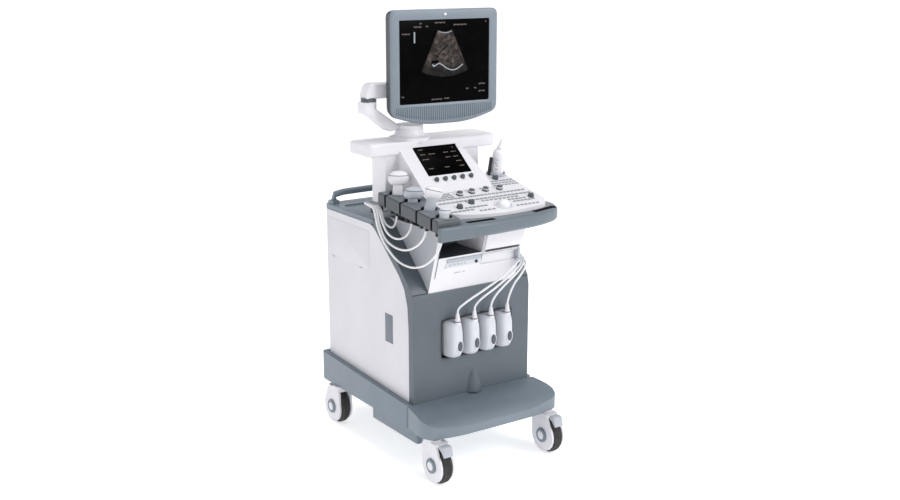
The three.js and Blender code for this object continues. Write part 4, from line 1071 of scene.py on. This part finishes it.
def make_monitor():
    refined("lower_arm", WHITE, 5.0, 4, 28.0)
    pivot = refined("upper_arm", WHITE, 4.0, 4, 28.0)
    tinted(pivot, KNOB_GREY, lambda x, y, z, normal: z < 1190.5 and x < -184)
    refined("monitor_mount", WHITE, 1.0, 2)
    # The monitor's back takes the painted shade grey.
    refined("monitor_back", SHADE_GREY, 3.0, 3, 28.0)
    bezel = piece("bezel_ring", headed(bezel_shape()), SLATE, "monitor", ("monitor_bezel",), 45)
    # Painted shade: the bezel's side walls are darkened to the shade grey.
    tinted(bezel, SHADE_GREY, lambda x, y, z, normal: abs(normal.y) < 0.3 and z < 1470)
    ribs = []
    for x in np.arange(HEAD_X - 184, HEAD_X + 184, 8.0):
        low, high = chin_height(x) + 13, 1162
        ribs.append(bar((x, BEZEL_Y - 1.8, low), (x + 3.0, BEZEL_Y + 0.2, high), 0.7, 2))
    piece("chin_ribs", headed(both(*ribs)), SLATE_DEEP, "monitor")
    eye = turned(rounds([(0, 0), (4.2, 0), (4.2, 1.0), (3.0, 1.5), (0, 1.5)], 0.5), count=24)
    piece("bezel_eye", headed(about("x", eye, 90, (HEAD_X, BEZEL_Y - 0.6, 1458))), JACKET, "monitor")
    outline = oblong(HEAD_X - 168.6, 1171.4, HEAD_X + 168.6, 1440.6, 1)
    glass = prism(outline, "y", GLASS_Y, 216, 0.4, 2)
    piece("screen_glass", headed(glass), SCREEN, "monitor", ("lcd_panel",))
    make_scan()


def screen_at(u, v):
    """A place on the screen: u from its left edge to its right, v from its top down."""
    cx, cz, half_x, half_z = LCD
    u, v = np.asarray(u, float), np.asarray(v, float)
    return np.stack([cx + half_x * (2 * u - 1), cz + half_z * (1 - 2 * v)], -1)


def ribbon(points, wide, proud=0.25):
    """A thin flat strip along points on the screen: the line is moved by half its width to each
    side along its normal, and the strip is given a small thickness."""
    p = centripetal(np.c_[points, np.zeros(len(points))], 6)[:, :2]
    ahead = np.gradient(p, axis=0)
    ahead /= np.linalg.norm(ahead, axis=1, keepdims=True)
    side = np.stack([-ahead[:, 1], ahead[:, 0]], 1) * wide / 2
    corners = ((-1, 0), (1, 0), (1, proud), (-1, proud))
    rows = [raised(p + sign * side, "y", GLASS_Y - 0.1 - out) for sign, out in corners]
    return loft(np.stack(rows, 1))


def make_scan():
    """The picture on the screen: a fan of echoes between two arcs about a point above the
    screen, a bright curved line and a dark needle in it, a grey scale and rows of marks."""
    apex, near, far, spread = screen_at(0.5, -0.083), 62, 208, math.radians(25)
    r, a = np.meshgrid(np.linspace(near, far, 40), np.linspace(-spread, spread, 40), indexing="ij")
    x, z = apex[0] + r * np.sin(a), apex[1] - r * np.cos(a)
    front = np.stack([x, np.full(x.shape, GLASS_Y - 0.3), z], -1).reshape(-1, 3)
    fan = piece("scan_fan", headed(loft_patch(front, 40, 40, 0.2)), ECHO, "monitor")
    layer = fan.data.uv_layers.new(name="sweep")
    place = np.zeros(len(fan.data.vertices) * 3)
    fan.data.vertices.foreach_get("co", place)
    place = place.reshape(-1, 3) / MM - SHIFT
    distance = np.hypot(place[:, 0] - apex[0], place[:, 2] - apex[1])
    corner = np.zeros(len(fan.data.loops), int)
    fan.data.loops.foreach_get("vertex_index", corner)
    sweep = (distance - near) / (far - near)
    uv = np.stack([np.full(len(corner), 0.5), sweep[corner]], 1)
    layer.data.foreach_set("uv", uv.astype(np.float32).ravel())
    line = screen_at([0.385, 0.41, 0.435, 0.47, 0.51, 0.545, 0.578, 0.62, 0.66, 0.70],
                     [0.555, 0.535, 0.525, 0.545, 0.58, 0.6, 0.61, 0.605, 0.58, 0.545])
    arc = screen_at([0.43, 0.47, 0.505, 0.54, 0.57], [0.145, 0.155, 0.16, 0.155, 0.14])
    tick = screen_at([0.36, 0.375, 0.385], [0.535, 0.553, 0.556])
    bright = both(ribbon(line, 3.6, 0.5), ribbon(arc, 2.4, 0.5), ribbon(tick, 5.0, 0.5))
    piece("scan_wall", headed(bright), BRIGHT, "monitor")
    needle = both(ribbon(screen_at([0.54, 0.47, 0.405], [0.30, 0.365, 0.435]), 3.2, 0.4),
                  ribbon(screen_at([0.35, 0.385, 0.425], [0.50, 0.505, 0.495]), 8.5, 0.4),
                  ribbon(screen_at([0.385, 0.405, 0.43], [0.41, 0.44, 0.45]), 4.0, 0.4))
    piece("scan_needle", headed(needle), SCREEN, "monitor")
    scale = ribbon(screen_at([0.164, 0.164, 0.164], [0.14, 0.2, 0.27]), 5.0, 0.4)
    piece("grey_scale", headed(scale), BRIGHT, "monitor")
    words = [(0.155, 0.075, 0.09), (0.22, 0.035, 0.03), (0.29, 0.07, 0.03), (0.385, 0.03, 0.13),
             (0.595, 0.06, 0.155), (0.03, 0.155, 0.10), (0.35, 0.95, 0.12), (0.49, 0.945, 0.07),
             (0.885, 0.79, 0.085), (0.885, 0.88, 0.075), (0.74, 0.84, 0.03), (0.83, 0.84, 0.03),
             (0.02, 0.90, 0.03), (0.955, 0.03, 0.02)]
    made, pitch = [], 5
    for u, v, wide in words:
        x0, z0 = screen_at(u, v)
        for i in range(max(1, int(wide * 2 * LCD[2] / pitch))):
            x, tall = x0 + i * pitch, 3.0 + (i * 5 + int(40 * u)) % 3 * 0.8
            made.append(bar((x, GLASS_Y - 0.4, z0 - tall), (x + 3.4, GLASS_Y - 0.05, z0), 0.08, 1))
    piece("screen_marks", headed(both(*made)), MARKS, "monitor")


def loft_patch(points, rows, columns, thick):
    """A grid patch with a small thickness towards +Y, closed round its edge."""
    front = points.reshape(rows, columns, 3)
    back = front + np.array([0, thick, 0])
    return loft(np.concatenate([front, back[:, ::-1]], 1))


make_monitor()

# ---- stage ----
def backdrop():
    """Round floor of 60 m that curves up into a low wall: rings of (radius, height) in metres."""
    turn = np.linspace(0, np.pi / 2, 7)
    rings = np.r_[[[0.01, 0], [20, 0]], np.c_[60 + 4 * np.sin(turn), 4 - 4 * np.cos(turn)], [[64, 17]]]
    angle = np.arange(96) * 2 * np.pi / 96
    rows = [np.stack([r * np.cos(angle), r * np.sin(angle), np.full(96, h)], 1) for r, h in rings]
    return np.concatenate(rows), grid_faces(len(rings), 96) + [list(range(96))]


floor_mesh = bpy.data.meshes.new("floor")
floor_points, floor_faces = backdrop()
floor_mesh.from_pydata(floor_points.tolist(), [], floor_faces)
floor = linked("floor", floor_mesh)
pale = Nodes("pale_floor")
pale.shader.inputs["Base Color"].default_value = (0.93, 0.93, 0.935, 1)
pale.shader.inputs["Roughness"].default_value = 0.9
pale.shader.inputs["Specular IOR Level"].default_value = 0.1
pale.shader.inputs["Emission Color"].default_value = (1, 1, 1, 1)
pale.shader.inputs["Emission Strength"].default_value = 0.56
floor_mesh.materials.append(pale.material)

world = bpy.data.worlds.new("studio")
world.use_nodes = True
world.node_tree.nodes["Background"].inputs["Color"].default_value = (0.97, 0.98, 1.0, 1)
world.node_tree.nodes["Background"].inputs["Strength"].default_value = 0.5
bpy.context.scene.world = world
bpy.context.scene.view_settings.view_transform = "Standard"


def area_light(name, place, aim, size, power):
    light = bpy.data.lights.new(name, "AREA")
    light.shape, light.size, light.energy = "DISK", size, power
    made = linked(name, light)
    made.location = place
    made.rotation_euler = (Vector(aim) - Vector(place)).to_track_quat("-Z", "Y").to_euler()


area_light("key", (1.8, -3.4, 3.0), (0, -0.1, 0.7), 1.6, 75)
area_light("top", (0.2, 0.0, 3.6), (0, 0, 0.8), 2.0, 40)
area_light("side", (-3.2, 0.4, 1.4), (0, 0, 0.5), 2.0, 6)
